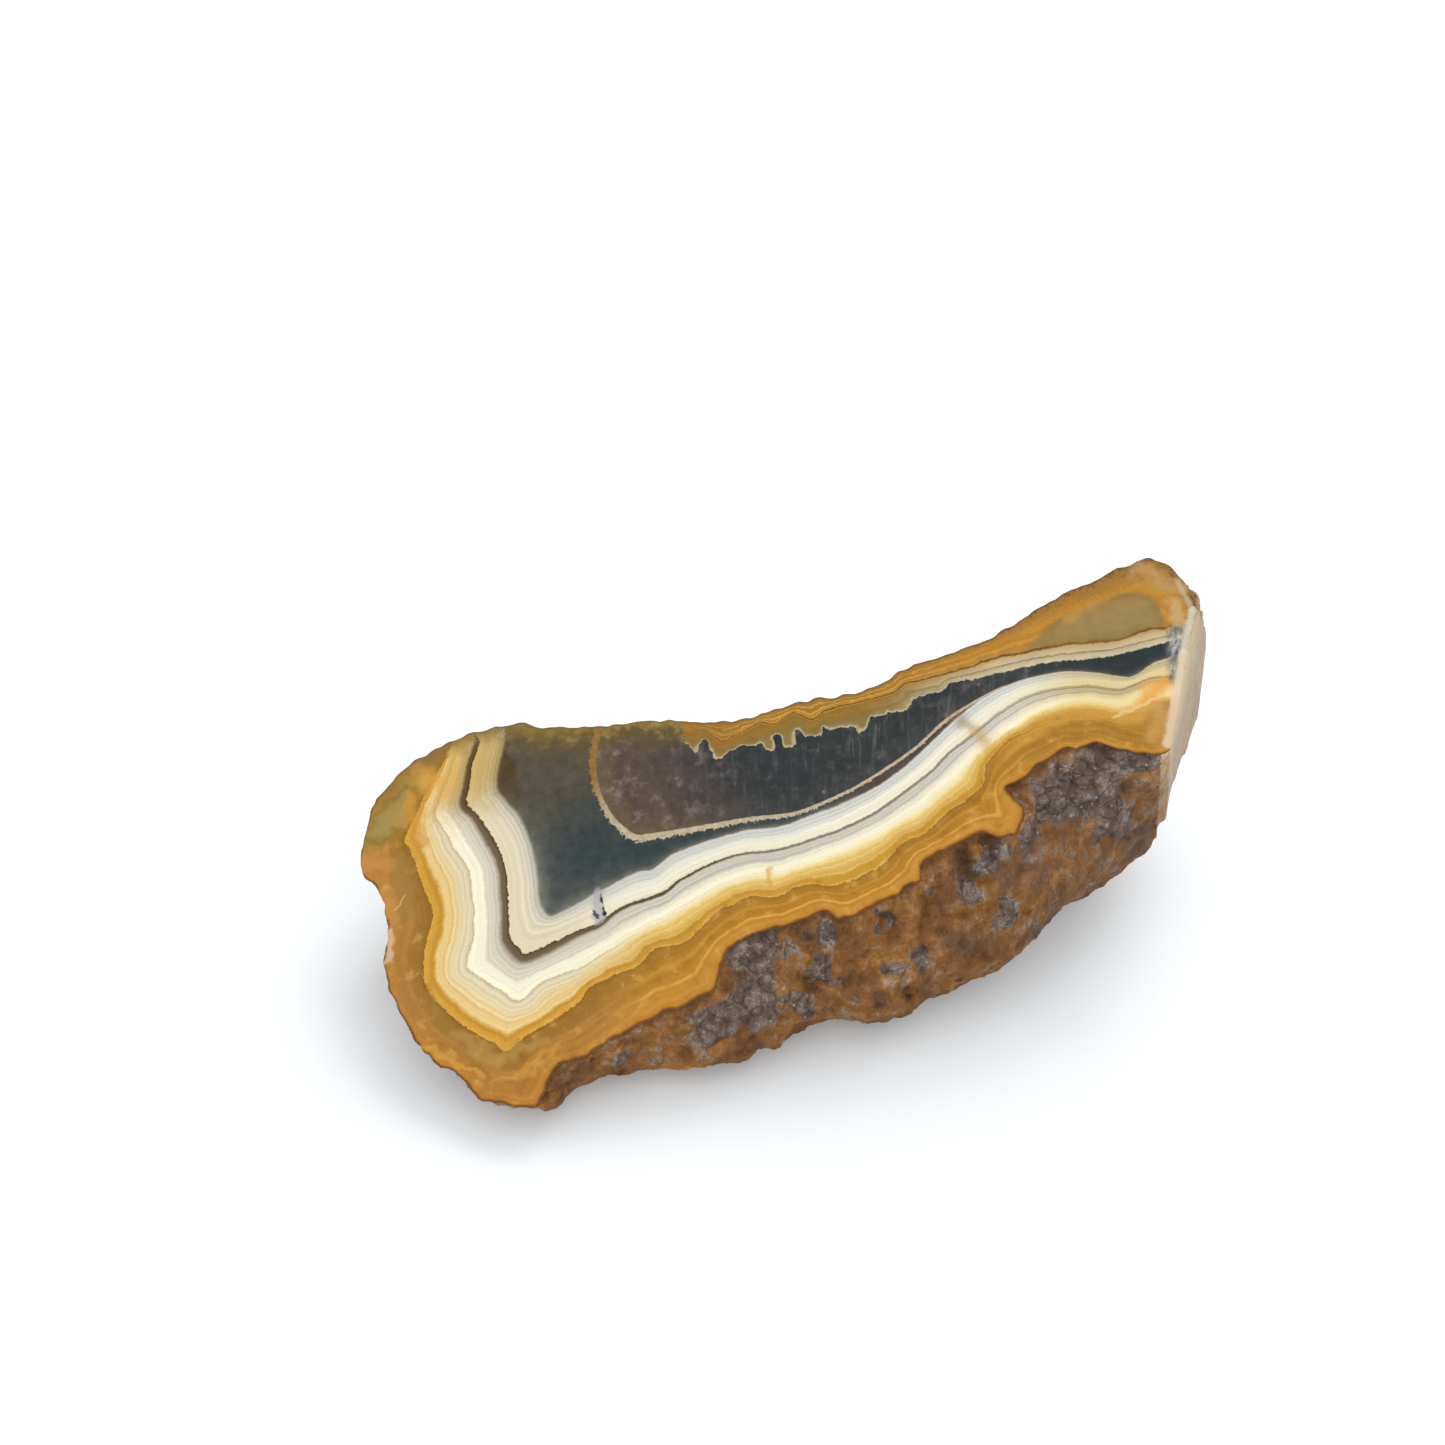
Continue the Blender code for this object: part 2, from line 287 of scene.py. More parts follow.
@dataclass(frozen=True)
class Nick:
    """A rounded bite in the face's edge: its centre, its radius and how far it pushes."""

    centre: Pair
    radius: float
    push: Pair

    def at(self, place: Vector) -> Vector:
        """Return how far the nick moves a place of the edge."""
        away = (place.xy - Vector(self.centre)).length / self.radius
        return Vector((*self.push, 0.0)) * max(0.0, 1.0 - away * away) ** 2


NICKS = tuple(Nick(*values) for values in (
    ((21.5, -4.3), 1.9, (-0.4, 0.25)), ((24.6, -2.9), 1.4, (0.0, 0.4)),
    ((27.3, -2.3), 1.5, (0.0, 0.45)), ((30.4, -2.7), 1.4, (0.0, 0.35)),
    ((16.9, -7.6), 2.1, (-0.15, 0.6)), ((0.1, -9.7), 1.4, (0.0, 0.4)),
    ((-13.2, -13.0), 1.5, (0.25, 0.35)), ((8.6, -10.1), 1.4, (0.0, 0.35)),
))


def limited(value: float) -> float:
    """Return the value, kept between 0 and 1."""
    return min(1.0, max(0.0, value))


@dataclass(frozen=True)
class Relief:
    """The rind's relief: broad swells, knobs in patches, single mounds and fine grain."""

    swell_size: float = 11.0
    swell_height: float = 0.9
    knob_size: float = 3.4
    knob_reach: float = 0.62
    knob_height: float = 0.9
    patch_size: float = 14.0
    patch_sharpness: float = 2.5
    patch_shift: tuple[float, float, float] = (7.3, 1.9, 4.4)
    grain_size: float = 1.7
    grain_height: float = 0.22
    bead_size: float = 1.9
    bead_height: float = 0.26
    bead_crack: float = 0.3
    crust_size: float = 2.2
    crust_height: float = 0.34
    crust_roughness: float = 0.6
    crust_gap: float = 2.1
    crust_layers: int = 5
    calm_share: float = 0.3
    patch_share: float = 0.7
    chip_size: float = 1.1
    chip_height: float = 0.28
    chip_run: float = 1.6
    nick_run: float = 4.0
    tooth_size: float = 0.55
    tooth_height: float = 0.17
    tooth_start: float = -2.5
    tooth_run: float = 3.0
    rim_fade: float = 1.6
    fine_rim_fade: float = 0.6
    spot_fade: float = 5.0
    lowest: float = 0.4
    painted_shade_broad_share: float = 0.3

    def patch(self, place: Vector) -> float:
        """Return how much a place belongs to a knobbly patch, from 0 to 1."""
        value = noise.noise(place / self.patch_size + Vector(self.patch_shift))
        return limited(0.5 + self.patch_sharpness * value)

    def broad(self, place: Vector) -> float:
        """Return the relief that the solid has too, as a distance outwards.

        Args:
            place: The place.

        Returns:
            The distance, negative inwards.
        """
        nearest = noise.voronoi(place / self.knob_size)[0][0]
        knob = max(0.0, 1.0 - (nearest / self.knob_reach) ** 2)
        height = self.swell_height * noise.noise(place / self.swell_size)
        height += self.knob_height * self.patch(place) * knob
        height += self.grain_height * noise.noise(place / self.grain_size)
        height += sum(mound.at(place) for mound in KNOBS)
        height -= sum(mound.at(place) for mound in HOLLOWS)
        return height

    def fine(self, place: Vector) -> float:
        """Return the beads, with cracks between them, and the crust on the broad relief.

        Args:
            place: The place.

        Returns:
            Their height.
        """
        nearest, second = noise.voronoi(place / self.bead_size)[0][:2]
        crack = limited((second - nearest) / self.bead_crack) - 1.0
        crust = noise.fractal(
            place / self.crust_size, self.crust_roughness, self.crust_gap, self.crust_layers
        )
        share = self.calm_share + self.patch_share * self.patch(place)
        return self.bead_height * crack * share + self.crust_height * crust

    def chipped(self, place: Vector, rim: float = 0.0) -> Vector:
        """Return a place of the cut face moved by the small chips of its edge.

        Args:
            place: The place on the face.
            rim: Its distance from the edge.

        Returns:
            The moved place.
        """
        share = max(0.0, 1.0 - rim / self.chip_run)
        chip = noise.noise_vector(place / self.chip_size) * self.chip_height
        rough = limited((self.tooth_start - place.y) / self.tooth_run)
        chip += noise.noise_vector(place / self.tooth_size) * self.tooth_height * rough
        chip *= share * share
        share = max(0.0, 1.0 - rim / self.nick_run)
        chip += sum((nick.at(place) for nick in NICKS), Vector()) * share * share
        return place + Vector((chip.x, chip.y, 0.0))


@dataclass(frozen=True)
class Break:
    """A flat break: a plane beyond the face that leans with depth."""

    direction: Vector
    distance: float
    flare_front: float
    flare_back: float
    middle: float = 1.0
    run: float = 8.0

    def limit(self, place: Vector) -> float:
        """Return how far out the break lies at a place's v and depth.

        Args:
            place: The place.

        Returns:
            The distance along the break's direction.
        """
        share = limited(0.5 + (place.y - self.middle) / self.run)
        flare = self.flare_front + (self.flare_back - self.flare_front) * share
        return self.distance - place.z * math.tan(flare)

    def beyond(self, place: Vector) -> float:
        """Return how far a place lies beyond the break, negative inside it."""
        return place.x * self.direction.x + place.y * self.direction.y - self.limit(place)

    def clamp(self, place: Vector) -> Vector:
        """Return the place, moved back onto the break if it lies beyond."""
        return place - self.direction * max(0.0, self.beyond(place))


END_BREAK = Break(Vector((0.843, -0.538, 0.0)), 34.15, math.radians(2.0), math.radians(6.5))
CHIP_BREAK = Break(Vector((-0.62, 0.78, 0.0)), 37.4, math.radians(-22.0), math.radians(-22.0))


class Surface(Enum):
    """The stone's three kinds of surface, in the order of its material slots."""

    CUT = 0
    RIND = 1
    END = 2


@dataclass
class NoduleBody:
    """Builds the stone's closed mesh from its sections."""

    plane: CutPlane = field(default_factory=CutPlane)
    relief: Relief = field(default_factory=Relief)
    columns: int = 300
    rows: int = 130
    rings_to_girth: int = 33
    rings_to_spot: int = 25
    corner_shifts: tuple[float, float, float, float] = (5.0, -7.0, 2.5, 0.0)
    spot_half_length: float = 13.0
    spot_half_width: float = 9.0
    spot_turn: float = math.radians(14.0)
    edge_handle: float = 0.3
    edge_sink: float = 0.1
    girth_handle: float = 0.32
    under_handle: float = 0.5
    spot_handle: float = 0.55
    notch_depth: float = 3.5
    weld: float = 1e-5
    spread_rounds: int = 800
    end_reach: float = 0.7
    back_start: float = 8.0
    back_run: float = 4.0
    back_fade: float = 5.0

    def __post_init__(self) -> None:
        """Make the curves and the lengths at the face grid's four corners."""
        self.to_stone = self.plane.matrix()
        self.to_face = self.to_stone.inverted()
        self.edge = ClosedCurve((LEFT_SIDE, TOP_SIDE, RIGHT_SIDE, FRONT_SIDE))
        self.girth = ClosedCurve((LEFT_GIRTH, TOP_GIRTH, RIGHT_GIRTH, FRONT_GIRTH))
        starts = self.edge.corners[:4]
        self.corners = [start + shift for start, shift in zip(starts, self.corner_shifts)]
        self.corners.append(self.corners[0] + self.edge.lengths[-1])

    def side_lengths(self, side: int, count: int) -> list[float]:
        """Return evenly spaced lengths along one side of the face's grid, both ends included."""
        start, end = self.corners[side], self.corners[side + 1]
        return [start + (end - start) * number / count for number in range(count + 1)]

    def stations(self) -> list[float]:
        """Return the length of each station round the whole edge.

        Returns:
            The lengths.
        """
        result = []
        for side, count in enumerate((self.rows, self.columns, self.rows, self.columns)):
            result.extend(self.side_lengths(side, count)[:-1])
        return result

    def spot_point(self, target: Vector) -> Vector:
        """Return the flat spot's edge in the direction of a point of the girth.

        Args:
            target: The point of the girth, in the stone's frame.

        Returns:
            The point of the spot's edge.
        """
        turn = Matrix.Rotation(self.spot_turn, 2)
        flat = turn.inverted() @ target.xy
        angle = math.atan2(flat.y / self.spot_half_width, flat.x / self.spot_half_length)
        edge = (self.spot_half_length * math.cos(angle), self.spot_half_width * math.sin(angle))
        return (turn @ Vector(edge)).to_3d()

    def profile(self, length: float) -> list[Vector]:
        """Return one profile of the wall, from the face's edge to the flat spot.

        Args:
            length: The length along the face's edge.

        Returns:
            The profile's points.
        """
        edge = self.edge.at(length)
        eased = self.edge.eased(length)
        widest = self.edge.matching(length, self.girth)
        widest.z = -widest.z
        start = self.to_stone @ eased
        middle = self.to_stone @ widest
        foot = self.spot_point(middle)
        up = Vector((0.0, 0.0, 1.0))
        run = (middle - start).length
        outward = middle - foot
        outward.z = 0.0
        reach = outward.length
        outward.normalize()
        sink = self.to_stone.to_3x3() @ Vector((0.0, 0.0, -self.edge_sink * run))
        first = start.lerp(middle, self.edge_handle) + sink
        second = middle + up * self.girth_handle * run
        upper = interpolate_bezier(start, first, second, middle, self.rings_to_girth + 1)
        third = middle - up * self.under_handle * middle.z
        fourth = foot + outward * self.spot_handle * reach
        lower = interpolate_bezier(middle, third, fourth, foot, self.rings_to_spot + 1)
        points = [self.to_face @ point for point in upper[:-1] + lower]
        notch = edge - eased
        result = []
        for point in points:
            share = max(0.0, 1.0 - (point - points[0]).length / self.notch_depth)
            result.append(point + notch * share * share)
        return result

    def weathered(self, profiles: list[list[Vector]]) -> list[list[tuple[Vector, float]]]:
        """Return the wall's points with the relief and the flat breaks, and how high each is.

        Args:
            profiles: The wall's profiles, in order round the stone.

        Returns:
            For each profile, its points and their heights.
        """
        count = len(profiles)
        result = []
        for index, line in enumerate(profiles):
            before, after = profiles[index - 1], profiles[(index + 1) % count]
            moved = [(self.relief.chipped(line[0]), 0.0)]
            back = limited((line[0].y - self.back_start) / self.back_run)
            fade = self.relief.rim_fade + self.back_fade * back
            for number in range(1, len(line) - 1):
                point = line[number]
                across = line[number + 1] - line[number - 1]
                normal = (after[number] - before[number]).cross(across).normalized()
                run = (point - line[0]).length
                foot = limited((point - line[-1]).length / self.relief.spot_fade)
                height = self.relief.broad(point) * limited(run / fade)
                fine = self.relief.fine(point)
                fine *= limited(run / (self.relief.fine_rim_fade + self.back_fade * back))
                place = self.relief.chipped(point, run) + normal * (height + fine) * foot
                place = self.to_stone @ CHIP_BREAK.clamp(END_BREAK.clamp(place))
                place.z = max(place.z, min(self.relief.lowest, (self.to_stone @ point).z))
                # The stored height drives the rind's painted shade in low places.
                moved.append((self.to_face @ place, fine + self.relief.painted_shade_broad_share * height))
            moved.append((line[-1], 0.0))
            result.append(moved)
        return result

    def add_face(self, mesh: bmesh.types.BMesh) -> None:
        """Add the cut face as a grid laid between its four edges.

        Args:
            mesh: The stone's mesh.
        """
        spread = self.spread_grid()
        rim = FaceLine(outline_points(self.edge), closed=True, steps=1)
        gaps = rim.distance(spread.reshape(-1, 2))[0].reshape(spread.shape[:2])
        grid = bmesh.ops.create_grid(
            mesh, x_segments=self.columns, y_segments=self.rows, size=0.5, matrix=Matrix.Identity(4)
        )
        for vert in grid["verts"]:
            column = round((vert.co.x + 0.5) * self.columns)
            row = round((vert.co.y + 0.5) * self.rows)
            on_edge = column in (0, self.columns) or row in (0, self.rows)
            gap = 0.0 if on_edge else gaps[column, row]
            vert.co = self.relief.chipped(Vector((*spread[column, row], 0.0)), gap)
        for face in mesh.faces:
            face.material_index = Surface.CUT.value

    def spread_grid(self) -> np.ndarray:
        """Return the places of the face's grid, spread so that no cell folds over.

        Returns:
            The places, by column and row.
        """
        sides = [
            np.array([self.edge.at(length).xy for length in self.side_lengths(side, count)])
            for side, count in enumerate((self.rows, self.columns, self.rows, self.columns))
        ]
        left, top, right, front = sides[0], sides[1], sides[2][::-1], sides[3][::-1]
        s = np.linspace(0.0, 1.0, self.columns + 1)[:, None, None]
        t = np.linspace(0.0, 1.0, self.rows + 1)[None, :, None]
        grid = front[:, None] * (1.0 - t) + top[:, None] * t + left * (1.0 - s) + right * s
        grid -= (front[0] * (1.0 - s) + front[-1] * s) * (1.0 - t)
        grid -= (top[0] * (1.0 - s) + top[-1] * s) * t
        for _ in range(self.spread_rounds):
            x_run = 0.5 * (grid[2:, 1:-1] - grid[:-2, 1:-1])
            y_run = 0.5 * (grid[1:-1, 2:] - grid[1:-1, :-2])
            x_weight = (y_run * y_run).sum(-1, keepdims=True)
            y_weight = (x_run * x_run).sum(-1, keepdims=True)
            skew = (x_run * y_run).sum(-1, keepdims=True)
            twist = grid[2:, 2:] - grid[2:, :-2] - grid[:-2, 2:] + grid[:-2, :-2]
            total = x_weight * (grid[2:, 1:-1] + grid[:-2, 1:-1]) - 0.5 * skew * twist
            total += y_weight * (grid[1:-1, 2:] + grid[1:-1, :-2])
            grid[1:-1, 1:-1] = total / (2.0 * (x_weight + y_weight))
        return grid

    def add_wall(self, mesh: bmesh.types.BMesh) -> None:
        """Add the wall as a grid rolled round the face's edge and closed at the flat spot.

        Args:
            mesh: The mesh that holds the face.
        """
        profiles = self.weathered([self.profile(length) for length in self.stations()])
        around, down = len(profiles), len(profiles[0]) - 1
        relief = mesh.verts.layers.float.new("relief")
        grid = bmesh.ops.create_grid(
            mesh, x_segments=around, y_segments=down, size=0.5, matrix=Matrix.Identity(4)
        )
        for vert in grid["verts"]:
            station, ring = round((vert.co.x + 0.5) * around), round((vert.co.y + 0.5) * down)
            vert.co, vert[relief] = profiles[station % around][ring]
            for face in vert.link_faces:
                face.material_index = Surface.RIND.value
        bmesh.ops.remove_doubles(mesh, verts=mesh.verts, dist=self.weld)
        bmesh.ops.holes_fill(mesh, edges=mesh.edges, sides=0)

    def mesh(self) -> bmesh.types.BMesh:
        """Return the whole stone, in face coordinates.

        Returns:
            The mesh.
        """
        mesh = bmesh.new()
        self.add_face(mesh)
        self.add_wall(mesh)
        bmesh.ops.recalc_face_normals(mesh, faces=mesh.faces)
        for face in mesh.faces:
            middle = face.calc_center_median()
            on_end = END_BREAK.beyond(middle) > -self.end_reach
            if face.material_index == Surface.RIND.value and on_end:
                face.material_index = Surface.END.value
            face.smooth = face.material_index != Surface.CUT.value
        for edge in mesh.edges:
            kinds = {face.material_index for face in edge.link_faces}
            edge.smooth = not (Surface.CUT.value in kinds and len(kinds) > 1)
        return mesh


# Lines across the cut face, read off to a quarter of a millimetre. They start at the
# top left, run round the lower left corner and end at the right; the core lies above them.
TAN_EDGE = (
    (-29.0, 22.0), (-33.0, 17.5), (-35.75, 14.0), (-36.0, 12.5), (-35.75, 9.0), (-35.5, 6.25),
    (-35.75, 4.0), (-37.5, 1.0), (-38.0, -1.75), (-37.25, -5.0), (-34.5, -8.5), (-32.75, -11.0),
    (-31.5, -11.25), (-29.5, -10.5), (-26.0, -9.75), (-24.25, -9.0), (-22.5, -8.0), (-18.5, -7.75),
    (-16.0, -6.75), (-13.75, -7.25), (-10.0, -5.75), (-6.5, -5.0), (-3.5, -6.0), (0.0, -6.0),
    (2.25, -7.0), (6.5, -6.75), (9.75, -5.25), (12.25, -5.0), (15.0, -3.75), (18.5, -2.75),
    (20.25, -0.5), (23.5, 1.25), (27.5, 1.25), (32.0, -0.5), (35.0, -3.25), (38.0, -3.75),
)
WHITE_EDGE = (
    (-28.5, 21.25), (-30.25, 18.5), (-32.5, 15.25), (-32.25, 13.5), (-31.25, 9.5), (-31.0, 7.25),
    (-31.25, 4.75), (-32.0, 1.75), (-33.5, -1.5), (-33.25, -2.75), (-31.25, -5.5), (-30.25, -6.75),
    (-29.25, -6.75), (-27.5, -6.0), (-24.0, -6.0), (-21.25, -5.5), (-17.75, -4.75), (-11.75, -3.75),
    (-8.5, -3.25), (-5.0, -3.25), (-2.0, -4.0), (3.5, -4.0), (7.0, -3.75), (10.5, -3.25),
    (13.25, -2.5), (16.25, -1.25), (20.5, 1.0), (23.75, 2.0), (27.0, 2.75), (31.0, 2.5),
    (34.5, 0.75), (37.75, 0.75), (40.25, -0.25),
)
DARK_BAND = (
    (-26.5, 21.25, 0.24), (-28.0, 19.0, 0.27), (-29.0, 16.75, 0.27), (-29.75, 15.0, 0.34),
    (-29.0, 13.0, 0.31), (-28.5, 11.0, 0.34), (-28.0, 8.5, 0.37), (-28.0, 6.5, 0.34),
    (-28.5, 4.0, 0.34), (-29.0, 1.75, 0.34), (-29.5, -0.25, 0.41), (-29.25, -1.75, 0.44),
    (-28.25, -3.25, 0.41), (-25.25, -3.0, 0.34), (-22.75, -2.75, 0.27), (-20.25, -2.5, 0.24),
    (-17.75, -1.75, 0.17), (-13.75, -1.75, 0.15), (-11.5, -1.0, 0.12), (-7.5, -0.5, 0.10),
    (-5.0, -0.75, 0.10), (-2.25, -1.5, 0.10), (1.5, -1.75, 0.10), (6.25, -1.75, 0.10),
    (10.5, -0.75, 0.10), (14.5, 0.5, 0.10), (17.0, 1.75, 0.10), (21.25, 3.25, 0.10),
    (25.0, 4.5, 0.10), (27.0, 4.75, 0.10), (29.25, 4.5, 0.10), (32.5, 3.5, 0.10),
    (35.0, 2.0, 0.08), (38.25, 2.0, 0.06), (41.0, 1.0, 0.05),
)
CORE_EDGE = (
    (-23.5, 20.5), (-24.75, 18.0), (-25.75, 15.5), (-25.25, 13.75), (-24.5, 11.5), (-24.25, 8.0),
    (-24.5, 4.75), (-25.0, 2.5), (-25.0, 1.25), (-24.5, 0.25), (-22.25, 0.5), (-19.25, 1.0),
    (-15.5, 1.5), (-13.75, 1.25), (-11.5, 2.0), (-9.0, 2.0), (-4.25, 1.75), (-0.5, 0.75),
    (2.0, 0.75), (7.75, 1.0), (11.25, 1.75), (14.5, 3.0), (18.75, 5.0), (23.0, 6.5),
    (25.75, 6.75), (28.5, 6.5), (31.0, 6.0), (33.25, 5.0), (36.0, 3.25), (37.25, 3.0),
    (39.25, 3.5), (40.75, 3.5),
)
INNER_LINE = (
    (-14.25, 18.0, 0.50), (-15.0, 16.75, 0.50), (-15.75, 15.25, 0.49), (-16.25, 13.5, 0.42),
    (-16.5, 11.0, 0.39), (-16.25, 8.75, 0.39), (-15.75, 7.0, 0.42), (-14.5, 5.0, 0.44),
    (-13.0, 4.5, 0.44), (-9.5, 3.75, 0.39), (-5.5, 3.0, 0.34), (-3.0, 2.5, 0.31),
    (0.75, 1.5, 0.26), (4.0, 1.5, 0.23), (8.25, 2.0, 0.21), (14.0, 3.5, 0.20),
    (18.0, 5.25, 0.20), (20.75, 6.0, 0.18), (23.5, 6.5, 0.13), (26.0, 6.75, 0.03),
)
CAP_EDGE = (
    (-6.5, 13.0), (-6.0, 11.5), (-4.75, 12.75), (-4.5, 11.0), (-4.25, 10.0), (-3.0, 10.25),
    (-1.5, 10.5), (-0.5, 10.0), (0.5, 10.0), (0.6, 9.25), (1.4, 8.75), (1.75, 10.25),
    (2.5, 10.0), (2.4, 8.75), (3.5, 8.5), (3.75, 9.75), (4.5, 10.0), (5.0, 9.0), (6.25, 8.5),
    (6.75, 9.25), (7.5, 8.75), (9.5, 8.25), (10.0, 7.25), (11.0, 7.75), (11.5, 8.5),
    (13.25, 8.25), (15.25, 8.0), (16.0, 8.75), (17.5, 8.75), (19.25, 8.5), (20.25, 9.0),
    (23.0, 8.5), (26.5, 8.0), (29.75, 7.5), (33.0, 6.5), (35.75, 5.75), (39.75, 5.25),
    (43.0, 5.0),
)
BROWN_LINE = (
    (-6.25, 13.75), (-4.5, 13.75), (-3.25, 11.75), (-1.75, 11.75), (1.0, 12.25), (2.5, 11.5),
    (4.5, 12.0), (6.0, 10.5), (8.0, 11.0), (11.75, 10.5), (14.75, 10.25), (15.75, 10.75),
    (17.5, 10.5), (22.5, 10.0), (25.25, 10.0), (27.75, 9.5), (32.0, 8.75), (34.5, 8.0),
    (37.0, 7.25), (40.5, 7.0), (42.0, 6.5),
)
LENS_EDGE = (
    (28.75, 9.75), (31.25, 11.25), (34.5, 12.25), (37.25, 12.25), (40.75, 11.75), (42.5, 10.0),
    (42.5, 8.0), (42.0, 6.75), (40.5, 7.0), (37.0, 7.25), (34.5, 8.0), (32.0, 8.75),
)
FAR_TOP = 60.0
FAR_RIGHT = 80.0


def outline_points(curve: ClosedCurve) -> list[Pair]:
    """Return the outline's fine points as pairs."""
    return [(point.x, point.y) for point in curve.fine[::OUTLINE_STEP]]


@dataclass
class FaceLine:
    """A line across the cut face, with the side of it that holds the core."""

    points: Sequence[tuple[float, ...]]
    closed: bool = False
    steps: int = 5

    def __post_init__(self) -> None:
        """Smooth the line and close it round the core's side."""
        rows = np.array([tuple(point) + (0.0,) * (3 - len(point)) for point in self.points])
        if self.closed:
            padded = np.vstack((rows[-1:], rows, rows[:2]))
        else:
            padded = np.vstack((2.0 * rows[0] - rows[1], rows, 2.0 * rows[-1] - rows[-2]))
        quads = [padded[start:len(padded) - 3 + start] for start in range(4)]
        parts = [spline_point(*quads, step / self.steps) for step in range(self.steps)]
        fine = np.stack(parts, axis=1).reshape(-1, 3)
        self.line = np.vstack((fine, padded[-2:-1]))
        self.ring = self.line[:, :2]
        if not self.closed:
            first, last = self.line[0], self.line[-1]
            far = ((FAR_RIGHT, last[1]), (FAR_RIGHT, FAR_TOP), (first[0], FAR_TOP))
            self.ring = np.vstack((self.ring, far))

    def distance(self, places: np.ndarray) -> tuple[np.ndarray, np.ndarray]:
        """Measure how far places lie from the line.

        Args:
            places: Rows of u and v.

        Returns:
            The distances, positive on the core's side, and the line's half width at the
            nearest point.
        """
        nearest = np.full(len(places), np.inf)
        width = np.zeros(len(places))
        for start, end in zip(self.line, self.line[1:]):
            run = end[:2] - start[:2]
            length = float(run @ run) + LEAST_RUN
            share = np.clip(((places - start[:2]) @ run) / length, 0.0, 1.0)
            away = np.hypot(*(places - start[:2] - share[:, None] * run).T)
            closer = away < nearest
            nearest = np.where(closer, away, nearest)
            width = np.where(closer, start[2] + share * (end[2] - start[2]), width)
        return np.where(self.holds(places), nearest, -nearest), width

    def holds(self, places: np.ndarray) -> np.ndarray:
        """Return which places lie on the core's side of the line.

        Args:
            places: Rows of u and v.

        Returns:
            True for each such place.
        """
        inside = np.zeros(len(places), dtype=bool)
        u, v = places.T
        for start, end in zip(self.ring, np.roll(self.ring, -1, axis=0)):
            rise = end[1] - start[1]
            if rise == 0.0:
                continue
            crossing = start[0] + (v - start[1]) * (end[0] - start[0]) / rise
            inside ^= ((start[1] > v) != (end[1] > v)) & (u < crossing)
        return inside


GREY_PATCHES = tuple(Mound(*values, 1.0) for values in (
    (-6.8, -9.5, 0.6, 3.9), (-8.8, -14.5, 2.9, 3.7), (-12.6, -15.2, 2.6, 2.9),
    (-14.8, -15.3, 2.5, 2.2), (-4.4, -15.2, 5.5, 2.4), (-1.4, -13.3, 4.2, 2.0),
    (-0.5, -10.8, 1.6, 1.6), (4.8, -15.2, 5.5, 1.4), (7.9, -14.9, 6.3, 1.7),
    (13.7, -10.7, 3.7, 2.0), (17.0, -9.1, 1.8, 2.0), (16.8, -13.3, 7.0, 2.0),
    (20.6, -5.6, 1.2, 1.6), (25.6, -5.0, 2.8, 3.6), (28.8, -5.7, 4.0, 3.8),
    (30.9, -7.8, 7.9, 3.4), (31.0, -4.0, 0.9, 3.2), (34.7, -5.6, 1.5, 2.8),
    (21.7, -7.9, 2.8, 2.2), (5.6, -11.8, 2.0, 1.6), (-22.5, -15.0, 2.3, 1.8),
))


@dataclass
class BandMap:
    """Writes where each point lies among the stone's bands, for the materials to read."""

    back_start: float = 9.0
    back_run: float = 5.0
    warp_size: float = 2.2
    warp_reach: float = 1.6
    grey_gain: float = 1.6
    rim_step: int = 2

    def __post_init__(self) -> None:
        """Make the face's lines."""
        curve = ClosedCurve((LEFT_SIDE, TOP_SIDE, RIGHT_SIDE, FRONT_SIDE))
        relief = Relief()
        chips = [relief.chipped(point) for point in curve.fine[::self.rim_step]]
        self.rim = FaceLine([tuple(point.xy) for point in chips], closed=True, steps=1)
        self.lines = [FaceLine(points) for points in (TAN_EDGE, WHITE_EDGE, DARK_BAND, CORE_EDGE)]
        self.lines += [FaceLine(points) for points in (INNER_LINE, CAP_EDGE, BROWN_LINE)]
        self.lens = FaceLine(LENS_EDGE, closed=True)

    def write(self, data: bpy.types.Mesh) -> None:
        """Write the attributes of a mesh that is still in face coordinates.

        Args:
            data: The stone's mesh.
        """
        places = np.empty(len(data.vertices) * 3)
        data.vertices.foreach_get("co", places)
        places = places.reshape(-1, 3)
        flat = places[:, :2]
        on_face = np.abs(places[:, 2]) < ON_FACE
        names = ("bands_outer", "bands_inner", "bands_core", "bands_cap")
        fields = np.zeros((3 * len(names), len(places)))
        rim, _ = self.rim.distance(flat[on_face])
        measured = [line.distance(flat[on_face]) for line in self.lines]
        lens, _ = self.lens.distance(flat[on_face])
        tan, white, dark, core, inner, cap, brown = measured
        rows = (rim, tan[0], white[0], dark[0], dark[1], core[0])
        rows += (inner[0], inner[1], cap[0], brown[0], lens)
        for row, values in enumerate(rows):
            fields[row, on_face] = values
        self.store(data, "place", places)
        for number, name in enumerate(names):
            self.store(data, name, fields[3 * number:3 * number + 3].T)
        self.store(data, "rind_marks", np.array([self.rind_marks(Vector(row)) for row in places]))

    def rind_marks(self, place: Vector) -> tuple[float, float, float]:
        """Return how grey, how hollow and how far round the back a place is.

        Args:
            place: The place.

        Returns:
            The three shares.
        """
        warped = place + noise.noise_vector(place / self.warp_size) * self.warp_reach
        grey = sum(patch.at(warped) for patch in GREY_PATCHES)
        hollow = sum(mound.at(warped) for mound in HOLLOWS)
        back = limited((place.y - self.back_start) / self.back_run)
        return (min(grey * self.grey_gain, 1.0), hollow, back)

    @staticmethod
    def store(data: bpy.types.Mesh, name: str, rows: np.ndarray) -> None:
        """Store one vector attribute on the mesh's points."""
        attribute = data.attributes.new(name, "FLOAT_VECTOR", "POINT")
        attribute.data.foreach_set("vector", np.ascontiguousarray(rows, dtype=np.float32).ravel())


Number = Union["Wire", float]


